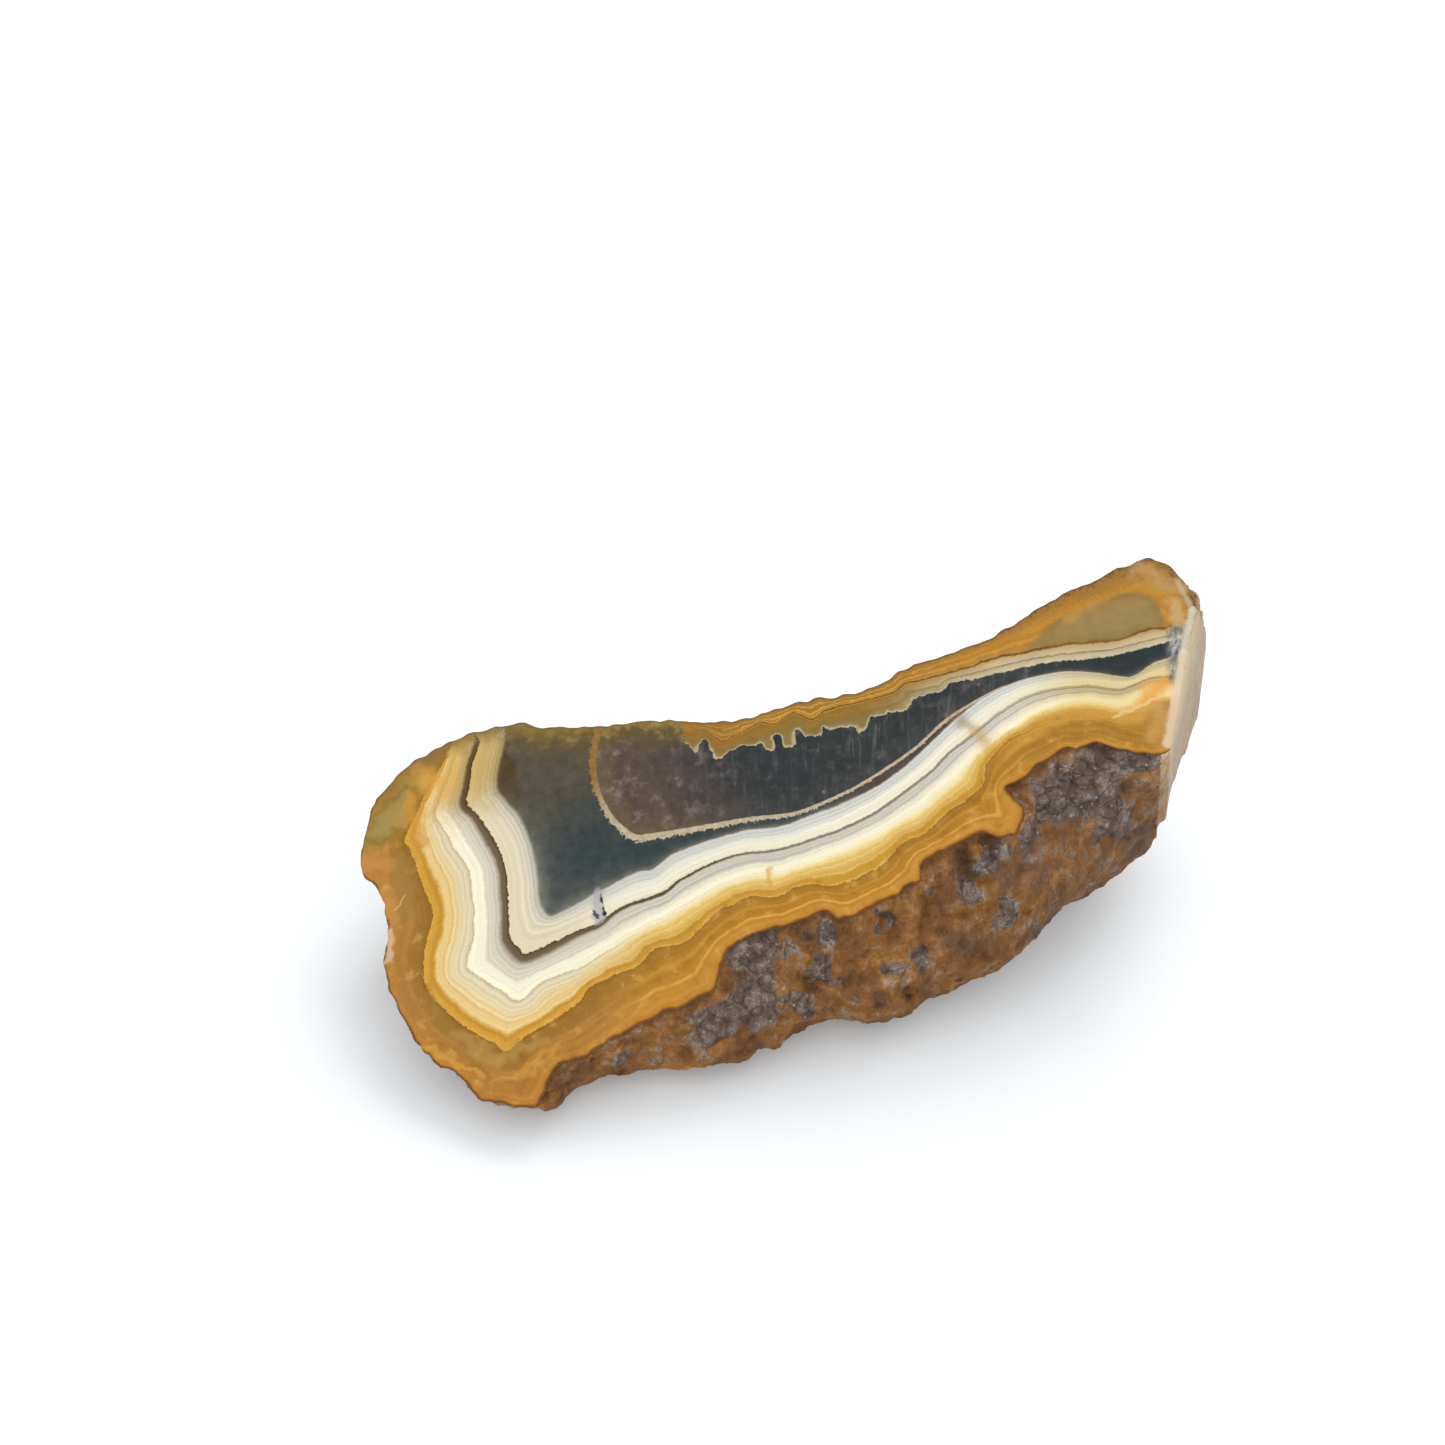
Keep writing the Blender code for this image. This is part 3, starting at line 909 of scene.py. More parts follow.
class Wire:
    """An output of a node tree that takes part in ordinary sums."""

    def __init__(self, shader: "Shader", socket: bpy.types.NodeSocket) -> None:
        """Wrap a node's output socket."""
        self.shader = shader
        self.socket = socket

    def math(self, operation: str, *values: Number) -> "Wire":
        """Return the result of a Math node."""
        return self.shader.wire(
            "ShaderNodeMath", {"operation": operation}, dict(enumerate(values)), "Value"
        )

    def __add__(self, other: Number) -> "Wire":
        """Add a value."""
        return self.math("ADD", self, other)

    def __radd__(self, other: Number) -> "Wire":
        """Add to a value."""
        return self.math("ADD", other, self)

    def __sub__(self, other: Number) -> "Wire":
        """Take a value away."""
        return self.math("SUBTRACT", self, other)

    def __rsub__(self, other: Number) -> "Wire":
        """Take away from a value."""
        return self.math("SUBTRACT", other, self)

    def __mul__(self, other: Number) -> "Wire":
        """Multiply by a value."""
        return self.math("MULTIPLY", self, other)

    def __rmul__(self, other: Number) -> "Wire":
        """Multiply a value."""
        return self.math("MULTIPLY", other, self)

    def __truediv__(self, other: Number) -> "Wire":
        """Divide by a value."""
        return self.math("DIVIDE", self, other)

    def __rtruediv__(self, other: Number) -> "Wire":
        """Divide a value."""
        return self.math("DIVIDE", other, self)

    def __neg__(self) -> "Wire":
        """Turn the sign."""
        return self.math("MULTIPLY", self, -1.0)

    def __abs__(self) -> "Wire":
        """Drop the sign."""
        return self.math("ABSOLUTE", self)

    def root(self) -> "Wire":
        """Return the square root."""
        return self.math("SQRT", self)

    def at_least(self, other: Number) -> "Wire":
        """Return the larger of the two."""
        return self.math("MAXIMUM", self, other)

    def at_most(self, other: Number) -> "Wire":
        """Return the smaller of the two."""
        return self.math("MINIMUM", self, other)

    def rise(self, low: float, high: float) -> "Wire":
        """Return a smooth step from 0 at low to 1 at high.

        Args:
            low: Where the step starts.
            high: Where it ends.

        Returns:
            The step.
        """
        sockets = {"Value": self, "From Min": low, "From Max": high}
        settings = {"interpolation_type": "SMOOTHSTEP"}
        return self.shader.wire("ShaderNodeMapRange", settings, sockets, "Result")

    def fall(self, low: float, high: float) -> "Wire":
        """Return a smooth step from 1 at low to 0 at high."""
        return 1.0 - self.rise(low, high)


Stops = Sequence[tuple[float, Colour]]
Paint = Union[Wire, Colour]


class Shader:
    """A material's node tree, with one method that makes every node."""

    def __init__(self, name: str) -> None:
        """Make an empty material of a name.

        Args:
            name: The name.
        """
        self.material = bpy.data.materials.new(name)
        self.material.use_nodes = True
        self.tree = self.material.node_tree
        self.tree.nodes.clear()

    def node(
        self, kind: str, settings: dict[str, Any] | None = None,
        sockets: dict[Union[str, int], Any] | None = None,
    ) -> bpy.types.Node:
        """Make a node.

        Args:
            kind: The node's type.
            settings: Its settings by name; stops are a colour ramp's stops.
            sockets: The values or wires of its inputs, by name or number.

        Returns:
            The node.
        """
        made = self.tree.nodes.new(kind)
        for name, value in (settings or {}).items():
            if name == "stops":
                self.set_stops(made.color_ramp, value)
            else:
                setattr(made, name, value)
        for name, value in (sockets or {}).items():
            if isinstance(value, Wire):
                self.tree.links.new(value.socket, made.inputs[name])
            else:
                made.inputs[name].default_value = value
        return made

    def wire(
        self, kind: str, settings: dict[str, Any], sockets: dict[Union[str, int], Any],
        output: Union[str, int],
    ) -> Wire:
        """Make a node and return one of its outputs."""
        return Wire(self, self.node(kind, settings, sockets).outputs[output])

    @staticmethod
    def set_stops(ramp: bpy.types.ColorRamp, stops: Stops) -> None:
        """Give a colour ramp its stops.

        Args:
            ramp: The colour ramp.
            stops: The stops' positions and colours.
        """
        while len(ramp.elements) < len(stops):
            ramp.elements.new(1.0)
        for element, (position, _) in zip(ramp.elements, stops):
            element.position = position
        for element, (_, colour) in zip(ramp.elements, stops):
            element.color = colour

    def attribute(self, name: str) -> Wire:
        """Return one of the mesh's attributes as a vector."""
        return self.wire("ShaderNodeAttribute", {"attribute_name": name}, {}, "Vector")

    def parts(self, vector: Wire) -> tuple[Wire, Wire, Wire]:
        """Return a vector's three numbers."""
        split = self.node("ShaderNodeSeparateXYZ", {}, {"Vector": vector})
        return tuple(Wire(self, output) for output in split.outputs)

    def vector(self, x: Number, y: Number, z: Number) -> Wire:
        """Return a vector of three numbers."""
        return self.wire("ShaderNodeCombineXYZ", {}, {"X": x, "Y": y, "Z": z}, "Vector")

    def noise(self, vector: Wire, size: float, detail: float = 2.0, rough: float = 0.5) -> Wire:
        """Return soft noise between about -1 and 1, of a grain size in the vector's units."""
        sockets = {"Vector": vector, "Scale": 1.0 / size, "Detail": detail, "Roughness": rough}
        return (self.wire("ShaderNodeTexNoise", {}, sockets, "Fac") - 0.5) * NOISE_SPREAD

    def cells(self, vector: Wire, size: float, feature: str = "F1") -> Wire:
        """Return the distance to the nearest of scattered points, or to their cells' edges."""
        sockets = {"Vector": vector, "Scale": 1.0 / size}
        return self.wire("ShaderNodeTexVoronoi", {"feature": feature}, sockets, "Distance")

    def ramp(self, share: Wire, stops: Stops) -> Wire:
        """Return a colour from a ramp."""
        return self.wire("ShaderNodeValToRGB", {"stops": stops}, {"Fac": share}, "Color")

    def mix(self, below: Paint, above: Paint, share: Number, blend: str = "MIX") -> Wire:
        """Return one colour laid over another by a share."""
        settings = {"data_type": "RGBA", "blend_type": blend, "clamp_factor": True}
        return self.wire("ShaderNodeMix", settings, {0: share, 6: below, 7: above}, 2)

    def brighten(self, colour: Wire, factor: Number) -> Wire:
        """Return a colour made lighter or darker by a factor."""
        sockets = {"Vector": colour, "Scale": factor}
        return self.wire("ShaderNodeVectorMath", {"operation": "SCALE"}, sockets, "Vector")

    def away(self, u: Wire, v: Wire, start: Pair, end: Pair) -> Wire:
        """Return the distance from a straight stroke between two places.

        Args:
            u: The place's u.
            v: The place's v.
            start: Where the stroke starts.
            end: Where it ends.

        Returns:
            The distance.
        """
        run = (end[0] - start[0], end[1] - start[1])
        length = run[0] ** 2 + run[1] ** 2 + LEAST_SQUARE
        across_u, across_v = u - start[0], v - start[1]
        share = (across_u * run[0] + across_v * run[1]) / length
        share = share.at_least(0.0).at_most(1.0)
        gap_u, gap_v = across_u - share * run[0], across_v - share * run[1]
        return (gap_u * gap_u + gap_v * gap_v).root()

    def bump(self, height: Wire, distance: float, strength: float = 1.0) -> Wire:
        """Return the surface's direction as small bumps of a height turn it."""
        sockets = {"Strength": strength, "Distance": distance, "Height": height}
        return self.wire("ShaderNodeBump", {}, sockets, "Normal")

    def finish(self, sockets: dict[str, Any]) -> bpy.types.Material:
        """Close the tree with a Principled shader and return the material.

        Args:
            sockets: The shader's values or wires, by name.

        Returns:
            The material.
        """
        surface = self.wire("ShaderNodeBsdfPrincipled", {}, sockets, "BSDF")
        self.node("ShaderNodeOutputMaterial", {}, {"Surface": surface})
        return self.material


def rgb(*stops: tuple[float, int, int, int]) -> Stops:
    """Return ramp stops from positions and display colours."""
    return [(position, shade(red, green, blue)) for position, red, green, blue in stops]


@dataclass(frozen=True)
class Stroke:
    """A soft mark on the cut face: a stroke between two places, with its radius and colour."""

    start: Pair
    end: Pair
    radius: float
    tone: Colour
    strength: float = 1.0
    softness: float = 0.5


LEFT_OUTER = rgb(
    (0.0, 100, 62, 26), (0.012, 150, 94, 36), (0.03, 194, 134, 54), (0.12, 184, 126, 50),
    (0.2, 174, 122, 50), (0.27, 184, 130, 56), (0.32, 168, 118, 46), (0.42, 160, 114, 42),
    (0.475, 154, 108, 34), (0.492, 140, 98, 28), (0.505, 232, 178, 76), (0.525, 216, 160, 54),
    (0.555, 216, 162, 56), (0.58, 206, 150, 48), (0.6, 202, 146, 48), (0.62, 216, 168, 80),
    (0.64, 232, 194, 118), (0.66, 246, 218, 150), (0.68, 234, 198, 126), (0.71, 242, 210, 144),
    (0.74, 230, 194, 124),
    (0.765, 246, 222, 162), (0.785, 236, 204, 140), (0.82, 244, 220, 168), (0.845, 230, 208, 162),
    (0.875, 244, 226, 184), (0.905, 228, 210, 170), (0.935, 238, 222, 186), (0.965, 224, 208, 174),
    (0.99, 202, 186, 152), (1.0, 236, 220, 184),
)
LEFT_INNER = rgb(
    (0.0, 248, 234, 198), (0.012, 255, 247, 216), (0.13, 255, 248, 222), (0.15, 240, 230, 204),
    (0.165, 216, 206, 180), (0.19, 232, 224, 202), (0.21, 212, 204, 182), (0.235, 228, 220, 198),
    (0.255, 206, 198, 178), (0.28, 222, 214, 194), (0.3, 196, 186, 164), (0.32, 170, 158, 136),
    (0.333, 142, 128, 104), (0.37, 118, 100, 76), (0.52, 110, 92, 68), (0.62, 90, 74, 52),
    (0.662, 78, 64, 44), (0.672, 230, 214, 176), (0.7, 236, 224, 190), (0.76, 228, 216, 184),
    (0.82, 234, 224, 196), (0.86, 222, 210, 178), (0.88, 238, 230, 206), (0.9, 206, 196, 172),
    (0.925, 226, 220, 200), (0.945, 192, 186, 168), (0.965, 204, 200, 184), (0.985, 160, 156, 142),
    (1.0, 122, 122, 112),
)
RIGHT_OUTER = rgb(
    (0.0, 96, 56, 22), (0.012, 150, 92, 34), (0.03, 196, 134, 46), (0.1, 204, 146, 56),
    (0.17, 192, 132, 42), (0.2, 220, 166, 74), (0.22, 188, 130, 40), (0.3, 180, 126, 38),
    (0.34, 202, 146, 52), (0.37, 178, 124, 38), (0.45, 172, 122, 40), (0.488, 158, 110, 34),
    (0.503, 230, 182, 84), (0.525, 206, 152, 52), (0.6, 202, 148, 48), (0.65, 208, 158, 60),
    (0.67, 232, 192, 106), (0.69, 218, 172, 78), (0.76, 226, 184, 96), (0.8, 238, 204, 128),
    (0.83, 230, 186, 98), (0.9, 242, 212, 136), (0.95, 248, 226, 162), (1.0, 254, 238, 188),
)
RIGHT_INNER = rgb(
    (0.0, 254, 240, 196), (0.06, 255, 246, 214), (0.13, 252, 243, 214), (0.145, 236, 226, 198),
    (0.16, 250, 241, 212), (0.18, 226, 218, 196), (0.2, 214, 208, 190), (0.225, 190, 184, 168),
    (0.24, 220, 214, 198), (0.275, 204, 198, 182), (0.3, 216, 210, 194), (0.325, 186, 180, 164),
    (0.336, 108, 92, 72), (0.36, 92, 74, 50), (0.655, 104, 88, 64), (0.672, 236, 226, 198),
    (0.7, 248, 238, 210), (0.8, 248, 241, 218), (0.86, 230, 228, 214), (0.885, 204, 204, 192),
    (0.905, 226, 225, 212), (0.93, 202, 202, 192), (0.955, 222, 221, 212), (0.98, 206, 202, 194),
    (0.992, 156, 146, 136), (1.0, 104, 92, 84),
)
CAP_LEFT = rgb(
    (0.0, 200, 188, 154), (0.03, 184, 168, 128), (0.055, 150, 126, 80), (0.14, 140, 112, 56),
    (0.24, 148, 116, 52), (0.34, 154, 116, 46), (0.42, 148, 108, 38), (0.475, 178, 132, 52),
    (0.488, 106, 72, 30), (0.512, 112, 76, 32), (0.53, 204, 148, 60), (0.6, 176, 124, 40),
    (0.65, 222, 172, 86), (0.68, 174, 120, 36), (0.76, 166, 114, 34), (0.8, 214, 166, 86),
    (0.83, 172, 122, 42), (0.93, 168, 120, 46), (1.0, 118, 84, 38),
)
CAP_RIGHT = rgb(
    (0.0, 186, 174, 146), (0.05, 212, 196, 164), (0.17, 198, 178, 140), (0.22, 152, 124, 86),
    (0.25, 206, 188, 152), (0.4, 200, 174, 126), (0.465, 190, 148, 80), (0.485, 112, 78, 40),
    (0.515, 118, 82, 42), (0.54, 180, 134, 62), (0.62, 184, 132, 50), (0.68, 202, 148, 58),
    (0.74, 184, 128, 42), (0.8, 198, 142, 52), (0.9, 176, 124, 46), (0.97, 156, 112, 52),
    (1.0, 122, 88, 46),
)
STROKES = (
    Stroke((-39.2, 14.2), (-34.2, 19.4), 2.3, shade(166, 134, 60), 0.9, 0.8),
    Stroke((-38.6, 14.8), (-35.2, 18.2), 1.7, shade(132, 108, 48), 0.6, 0.35),
    Stroke((-38.4, 15.0), (-35.4, 17.9), 1.45, shade(170, 146, 78), 0.9, 0.6),
    Stroke((-36.4, 15.2), (-34.6, 17.6), 0.9, shade(194, 152, 74), 0.6, 0.9),
    Stroke((-34.2, 17.2), (-35.0, 12.8), 1.5, shade(212, 152, 58), 0.7, 0.9),
    Stroke((-32.8, 19.4), (-31.6, 18.2), 2.0, shade(232, 172, 76), 0.7, 0.9),
    Stroke((-40.4, 12.4), (-38.8, 11.2), 1.7, shade(204, 142, 68), 0.85, 0.8),
    Stroke((-37.4, 10.8), (-38.4, 5.8), 1.7, shade(164, 128, 60), 0.75, 0.9),
    Stroke((-39.6, 8.6), (-39.6, 5.6), 1.2, shade(204, 142, 70), 0.75, 0.9),
    Stroke((-39.0, 7.0), (-38.3, 7.8), 0.2, shade(228, 176, 104), 0.8, 0.8),
    Stroke((-40.3, 4.6), (-40.7, 1.4), 0.6, shade(224, 192, 156), 0.8, 0.9),
    Stroke((-40.8, 0.0), (-39.8, -5.5), 0.7, shade(172, 124, 62), 0.6, 0.9),
    Stroke((-38.4, -3.4), (-36.8, -7.4), 0.8, shade(160, 120, 50), 0.7, 0.9),
    Stroke((-36.6, -8.2), (-33.4, -11.6), 1.0, shade(182, 142, 70), 0.7, 0.9),
    Stroke((-33.4, -11.6), (-28.6, -11.6), 0.9, shade(190, 148, 72), 0.6, 0.9),
    Stroke((-40.0, -7.5), (-35.0, -13.0), 0.5, shade(226, 168, 74), 0.55, 0.9),
    Stroke((-34.0, -14.0), (-27.0, -12.8), 0.6, shade(224, 162, 64), 0.45, 0.9),
    Stroke((38.8, 0.9), (37.4, 0.3), 1.9, shade(238, 164, 54), 0.8, 0.9),
    Stroke((33.6, -0.6), (39.0, -0.7), 0.5, shade(246, 208, 144), 0.75, 0.9),
    Stroke((37.6, -1.8), (36.2, -4.4), 1.4, shade(216, 164, 96), 0.55, 0.9),
    Stroke((41.8, 13.6), (44.8, 10.8), 1.5, shade(196, 154, 98), 0.8, 0.9),
    Stroke((43.8, 9.0), (43.4, 6.0), 1.3, shade(206, 176, 118), 0.75, 0.9),
)
RIGHT_STRIP = (
    Stroke((45.3, 11.0), (45.2, 7.4), 0.45, shade(206, 188, 152), 0.6, 0.8),
    Stroke((45.2, 7.4), (42.7, 3.6), 0.6, shade(220, 210, 192), 0.85, 0.7),
    Stroke((42.5, 3.4), (39.6, -1.2), 0.65, shade(234, 214, 188), 0.9, 0.7),
    Stroke((39.6, -1.2), (37.0, -5.2), 0.75, shade(232, 204, 172), 0.9, 0.7),
)


@dataclass(frozen=True)
class Vein:
    """A thin mark on the cut face, with the distances where it starts and ends to fade."""

    start: Pair
    end: Pair
    ragged: float
    full: float
    gone: float
    tone: Colour
    strength: float = 1.0
    drifts: bool = False


VEINS = (
    Vein((-3.2, -3.0), (-3.6, -4.8), 0.25, 0.0, 0.5, shade(222, 170, 72), 0.7, drifts=True),
    Vein((-19.6, 0.6), (-20.3, -1.9), 0.45, 0.35, 0.8, shade(176, 175, 178), 0.75),
    Vein((-19.4, 0.4), (-19.6, -1.6), 0.25, 0.06, 0.26, shade(58, 56, 62)),
    Vein((-20.6, -0.5), (-20.3, -2.0), 0.45, 0.02, 0.22, shade(88, 86, 92)),
)
SHARDS = rgb(
    (0.2, 66, 68, 66), (0.45, 112, 114, 110), (0.62, 156, 156, 150), (0.85, 226, 224, 216),
)
CORE_DEPTH = rgb(
    (0.0, 114, 112, 100), (0.1, 94, 96, 88), (0.28, 74, 78, 74), (0.6, 60, 69, 68),
    (1.0, 52, 63, 64),
)


class FaceWires:
    """A place's coordinates on the cut face and its distances to the lines, as wires."""

    def __init__(self, shader: Shader) -> None:
        """Read the mesh's attributes.

        Args:
            shader: The material's nodes.
        """
        self.place = shader.attribute("place")
        self.u, self.v, _ = shader.parts(self.place)
        self.rim, self.tan, self.white = shader.parts(shader.attribute("bands_outer"))
        self.dark, self.dark_half, self.core = shader.parts(shader.attribute("bands_inner"))
        self.inner, self.inner_half, self.cap = shader.parts(shader.attribute("bands_core"))
        self.brown, self.lens, _ = shader.parts(shader.attribute("bands_cap"))
        self.ragged = shader.noise(self.place, 1.1, 4.0, 0.6)


@dataclass(frozen=True)
class CutFaceFinish:
    """The polished cut face: bands round a dark core, and a cap along the top."""

    broad_wobble: float = 0.22
    fine_wobble: float = 0.09
    line_depth: float = 0.14
    grain: float = 0.08
    teeth: float = 0.06
    roughness: float = 0.2
    coat: float = 0.04
    coat_roughness: float = 0.06
    specular: float = 0.16
    outer_bands: int = 2
    inner_bands: int = 3
    core_depth: float = 4.0

    def material(self) -> bpy.types.Material:
        """Return the cut face's material.

        Returns:
            The material.
        """
        shader = Shader("agate_cut_face")
        face = FaceWires(shader)
        wobble = shader.noise(face.place, 3.0, 2.0) * self.broad_wobble
        wobble = wobble + shader.noise(face.place, 0.5, 2.0, 0.6) * self.fine_wobble
        wobble = wobble + shader.noise(face.place, 0.2, 1.0) * self.teeth
        colour = self.bands(shader, face, wobble)
        in_core = (face.core + wobble * 0.5).rise(-0.08, 0.12)
        colour = shader.mix(colour, self.core(shader, face), in_core)
        for layer in (self.inner_line, self.cap, self.edge_stains, self.marks, self.broken_corner):
            colour = layer(shader, face, colour)
        sheen = shader.noise(face.place, 2.4, 3.0)
        return shader.finish({
            "Base Color": colour,
            "Roughness": self.roughness + 0.05 * sheen,
            "Coat Weight": self.coat,
            "Coat Roughness": self.coat_roughness,
            "Specular IOR Level": self.specular,
        })

    def bands(self, shader: Shader, face: FaceWires, wobble: Wire) -> Wire:
        """Return the bands between the rim and the core.

        Args:
            shader: The material's nodes.
            face: The place on the face.
            wobble: The lines' unevenness.

        Returns:
            The bands' colour.
        """
        place, u, rim = face.place, face.u, face.rim
        half = face.dark_half * (1.0 + 0.25 * shader.noise(place, 0.45, 2.0))
        tan, white, core = face.tan + wobble * 1.3, face.white + wobble, face.core + wobble * 0.5
        dark = face.dark + wobble * 0.5
        chain = (rim, tan, white, dark + 0.53 * half, dark - 1.47 * half, core)
        band = self.share(chain[0], chain[1])
        for outer, following in zip(chain[1:], chain[2:]):
            band = band + self.share(outer, following)
        outer_share = band / self.outer_bands
        inner_share = (band - self.outer_bands) / self.inner_bands
        left, right = (
            shader.mix(
                shader.ramp(outer_share, outer), shader.ramp(inner_share, inner),
                white.rise(-0.02, 0.02),
            )
            for outer, inner in ((LEFT_OUTER, LEFT_INNER), (RIGHT_OUTER, RIGHT_INNER))
        )
        along = (u + 1.5 * shader.noise(place, 5.0)).rise(-25.0, -15.0)
        colour = shader.mix(left, right, along)
        faint = (1.53 * half - abs(dark - 0.47 * half) * 1.5).rise(0.0, 0.06)
        paler = faint * (u.rise(-9.0, -3.0) * 0.6 + u.rise(6.0, 14.0) * 0.25)
        colour = shader.mix(colour, shade(158, 150, 134), paler)
        colour = shader.mix(colour, shade(196, 186, 156), faint * u.rise(16.0, 27.0))
        smooth = (u + 2.0 * shader.noise(place, 3.0)).rise(18.0, 27.0) * white.fall(-1.4, -0.3)
        gold = shader.mix(shade(170, 122, 42), shade(206, 152, 60), (rim + white).rise(-0.6, 1.0))
        colour = shader.mix(colour, gold, smooth * rim.rise(0.2, 0.8) * 0.8)
        far = (u + 1.2 * shader.noise(place, 2.5)).rise(24.0, 34.0) * (white + 0.6).rise(0.0, 1.2)
        colour = shader.mix(colour, shade(238, 224, 184), far, "MULTIPLY")
        layers = shader.vector(band * 14.0, u * 0.05, face.v * 0.05)
        lines = shader.noise(layers, 1.0, 3.0, 0.6)
        clouds = shader.noise(place, 1.6, 4.0, 0.6) * tan.fall(0.0, 1.4)
        colour = shader.mix(colour, shade(150, 92, 26), clouds.rise(0.05, 0.7) * 0.4)
        colour = shader.mix(colour, shade(246, 196, 104), (-clouds).rise(0.1, 0.8) * 0.35)
        grain = shader.noise(place, 0.16, 2.0, 0.6)
        return shader.brighten(colour, 1.0 + self.line_depth * lines + self.grain * grain)

    @staticmethod
    def share(inside: Wire, beyond: Wire) -> Wire:
        """Return how far a place has come from one line to the next, from 0 to 1."""
        past = inside.at_least(0.0)
        return past / (past + (-beyond).at_least(0.0) + SMALL)

    def core(self, shader: Shader, face: FaceWires) -> Wire:
        """Return the dark core's colour, cloudy and streaked.

        Args:
            shader: The material's nodes.
            face: The place on the face.

        Returns:
            The core's colour.
        """
        u, v, inner = face.u, face.v, face.inner
        clouds = shader.noise(face.place, 3.2, 5.0, 0.6)
        haze = shader.noise(face.place, 1.3, 5.0, 0.65)
        depth = face.core * (1.0 + 4.0 * u.rise(-22.0, -6.0))
        outer = shader.ramp(depth / self.core_depth + 0.08 * clouds, CORE_DEPTH)
        outer = shader.brighten(outer, 1.12 - 0.4 * u.rise(2.0, 24.0))
        strip = u.rise(3.0, 9.0) * u.fall(22.0, 27.0)
        outer = shader.mix(outer, shade(88, 72, 64), strip * 0.85)
        warm = (v + 3.5 * clouds).rise(5.0, 15.0) * 0.85
        outer = shader.mix(outer, shade(92, 82, 64), warm * u.fall(-10.0, 0.0))
        along = (u + 3.0 * clouds).rise(-13.0, 0.0)
        middle = shader.mix(shade(90, 76, 68), shade(52, 56, 57), along)
        glow = shader.mix(shade(112, 92, 68), shade(66, 68, 66), along)
        middle = shader.mix(middle, glow, (inner + 0.9 * clouds).fall(0.2, 3.2) * 0.8)
        streaks = shader.noise(shader.vector(u - v * 0.36, v * 0.16, 0.0), 0.7, 3.0, 0.65)
        pale = (clouds + 0.9 * haze).rise(0.1, 0.9) * (1.0 - 0.75 * along)
        middle = shader.mix(middle, shade(136, 120, 114), pale * 0.75)
        blue = streaks.rise(0.05, 0.8) * along
        middle = shader.mix(middle, shade(100, 103, 99), blue * (0.3 + 0.3 * u.rise(2.0, 14.0)))
        specks = (shader.cells(face.place, 2.3) + 0.03 * haze).fall(0.02, 0.1)
        middle = shader.mix(middle, shade(186, 182, 176), specks * 0.35)
        colour = shader.mix(outer, middle, inner.rise(-0.05, 0.05))
        colour = shader.brighten(colour, 1.0 + 0.34 * haze + 0.1 * streaks)
        stain = (face.rim + 1.2 * clouds).fall(0.4, 3.8) * (u + 2.0 * clouds).fall(-6.0, -3.0)
        mottle = (haze + 0.2 - 0.25 * face.rim).rise(-0.4, 0.6)
        return shader.mix(
            colour, shader.mix(shade(106, 88, 46), shade(164, 134, 66), mottle), stain * 0.9
        )

    def inner_line(self, shader: Shader, face: FaceWires, colour: Wire) -> Wire:
        """Lay the pale line within the core over a colour.

        Args:
            shader: The material's nodes.
            face: The place on the face.
            colour: What lies below.

        Returns:
            The colour with the line.
        """
        inner, half = face.inner, face.inner_half
        teeth = shader.noise(face.place, 0.45, 3.0, 0.7)
        offset = inner + 0.4 * teeth * inner.fall(-0.35, 0.05) * half.rise(0.1, 0.3) + 0.06 * teeth
        line = (abs(offset) / half.at_least(0.05)).fall(0.6, 0.95) * half.rise(0.03, 0.09)
        darker = (face.v + teeth).rise(6.0, 14.0)
        tone = shader.mix(shade(196, 178, 148), shade(150, 112, 54), darker)
        tone = shader.brighten(tone, 1.0 + 0.3 * shader.noise(face.place, 0.5, 3.0))
        return shader.mix(colour, tone, line)

    def cap(self, shader: Shader, face: FaceWires, colour: Wire) -> Wire:
        """Lay the cap along the top, with the lens in it, over a colour.

        Args:
            shader: The material's nodes.
            face: The place on the face.
            colour: What lies below.

        Returns:
            The colour with the cap.
        """
        place, u, v, rim = face.place, face.u, face.v, face.rim
        teeth = shader.noise(place, 0.4, 3.0, 0.7)
        waves = shader.noise(place, 1.3, 3.0)
        spikes = shader.noise(shader.vector(u, v * 0.4, 2.0), 0.5, 2.0)
        edge = face.cap + 0.1 * teeth + 0.08 * waves + spikes * (0.1 + 0.12 * u.fall(14.0, 24.0))
        brown = face.brown + 0.08 * teeth + 0.14 * waves
        past = brown.at_least(0.0)
        level = self.share(edge, brown) + past / (past + rim.at_least(0.0) + SMALL)
        crinkle = 0.1 * waves + 0.16 * teeth
        level = (level + crinkle * (level - 1.0).at_least(0.0)) / 2.0
        along = (u + waves).rise(10.0, 27.0)
        cap = shader.mix(shader.ramp(level, CAP_LEFT), shader.ramp(level, CAP_RIGHT), along)
        layers = shader.noise(shader.vector(level * 26.0, u * 0.3, v * 0.3), 1.0, 3.0, 0.6)
        tip = (u + waves).fall(-4.0, 3.0) * (level - 0.06).rise(0.0, 0.06)
        cap = shader.mix(cap, shader.mix(shade(150, 108, 44), shade(182, 130, 52), teeth), tip * 0.6)
        cap = shader.brighten(cap, 1.0 + 0.14 * layers + 0.1 * waves)
        upper = (v + waves).rise(9.0, 12.5) * 0.8
        body = shader.mix(shade(158, 134, 82), shade(166, 128, 68), upper)
        body = shader.mix(body, shade(148, 118, 58), (face.lens + 0.4 * waves).fall(0.2, 1.4) * 0.6)
        streak = shader.away(u, v, (33.6, 11.4), (38.4, 12.6))
        body = shader.mix(body, shade(204, 154, 68), (streak + 0.2 * waves).fall(0.0, 1.1) * 0.6)
        body = shader.brighten(body, 1.0 + 0.12 * shader.noise(place, 1.2, 4.0))
        cap = shader.mix(cap, body, (face.lens + 0.3 * waves).rise(-0.15, 0.45))
        return shader.mix(colour, cap, edge.rise(-0.03, 0.05))

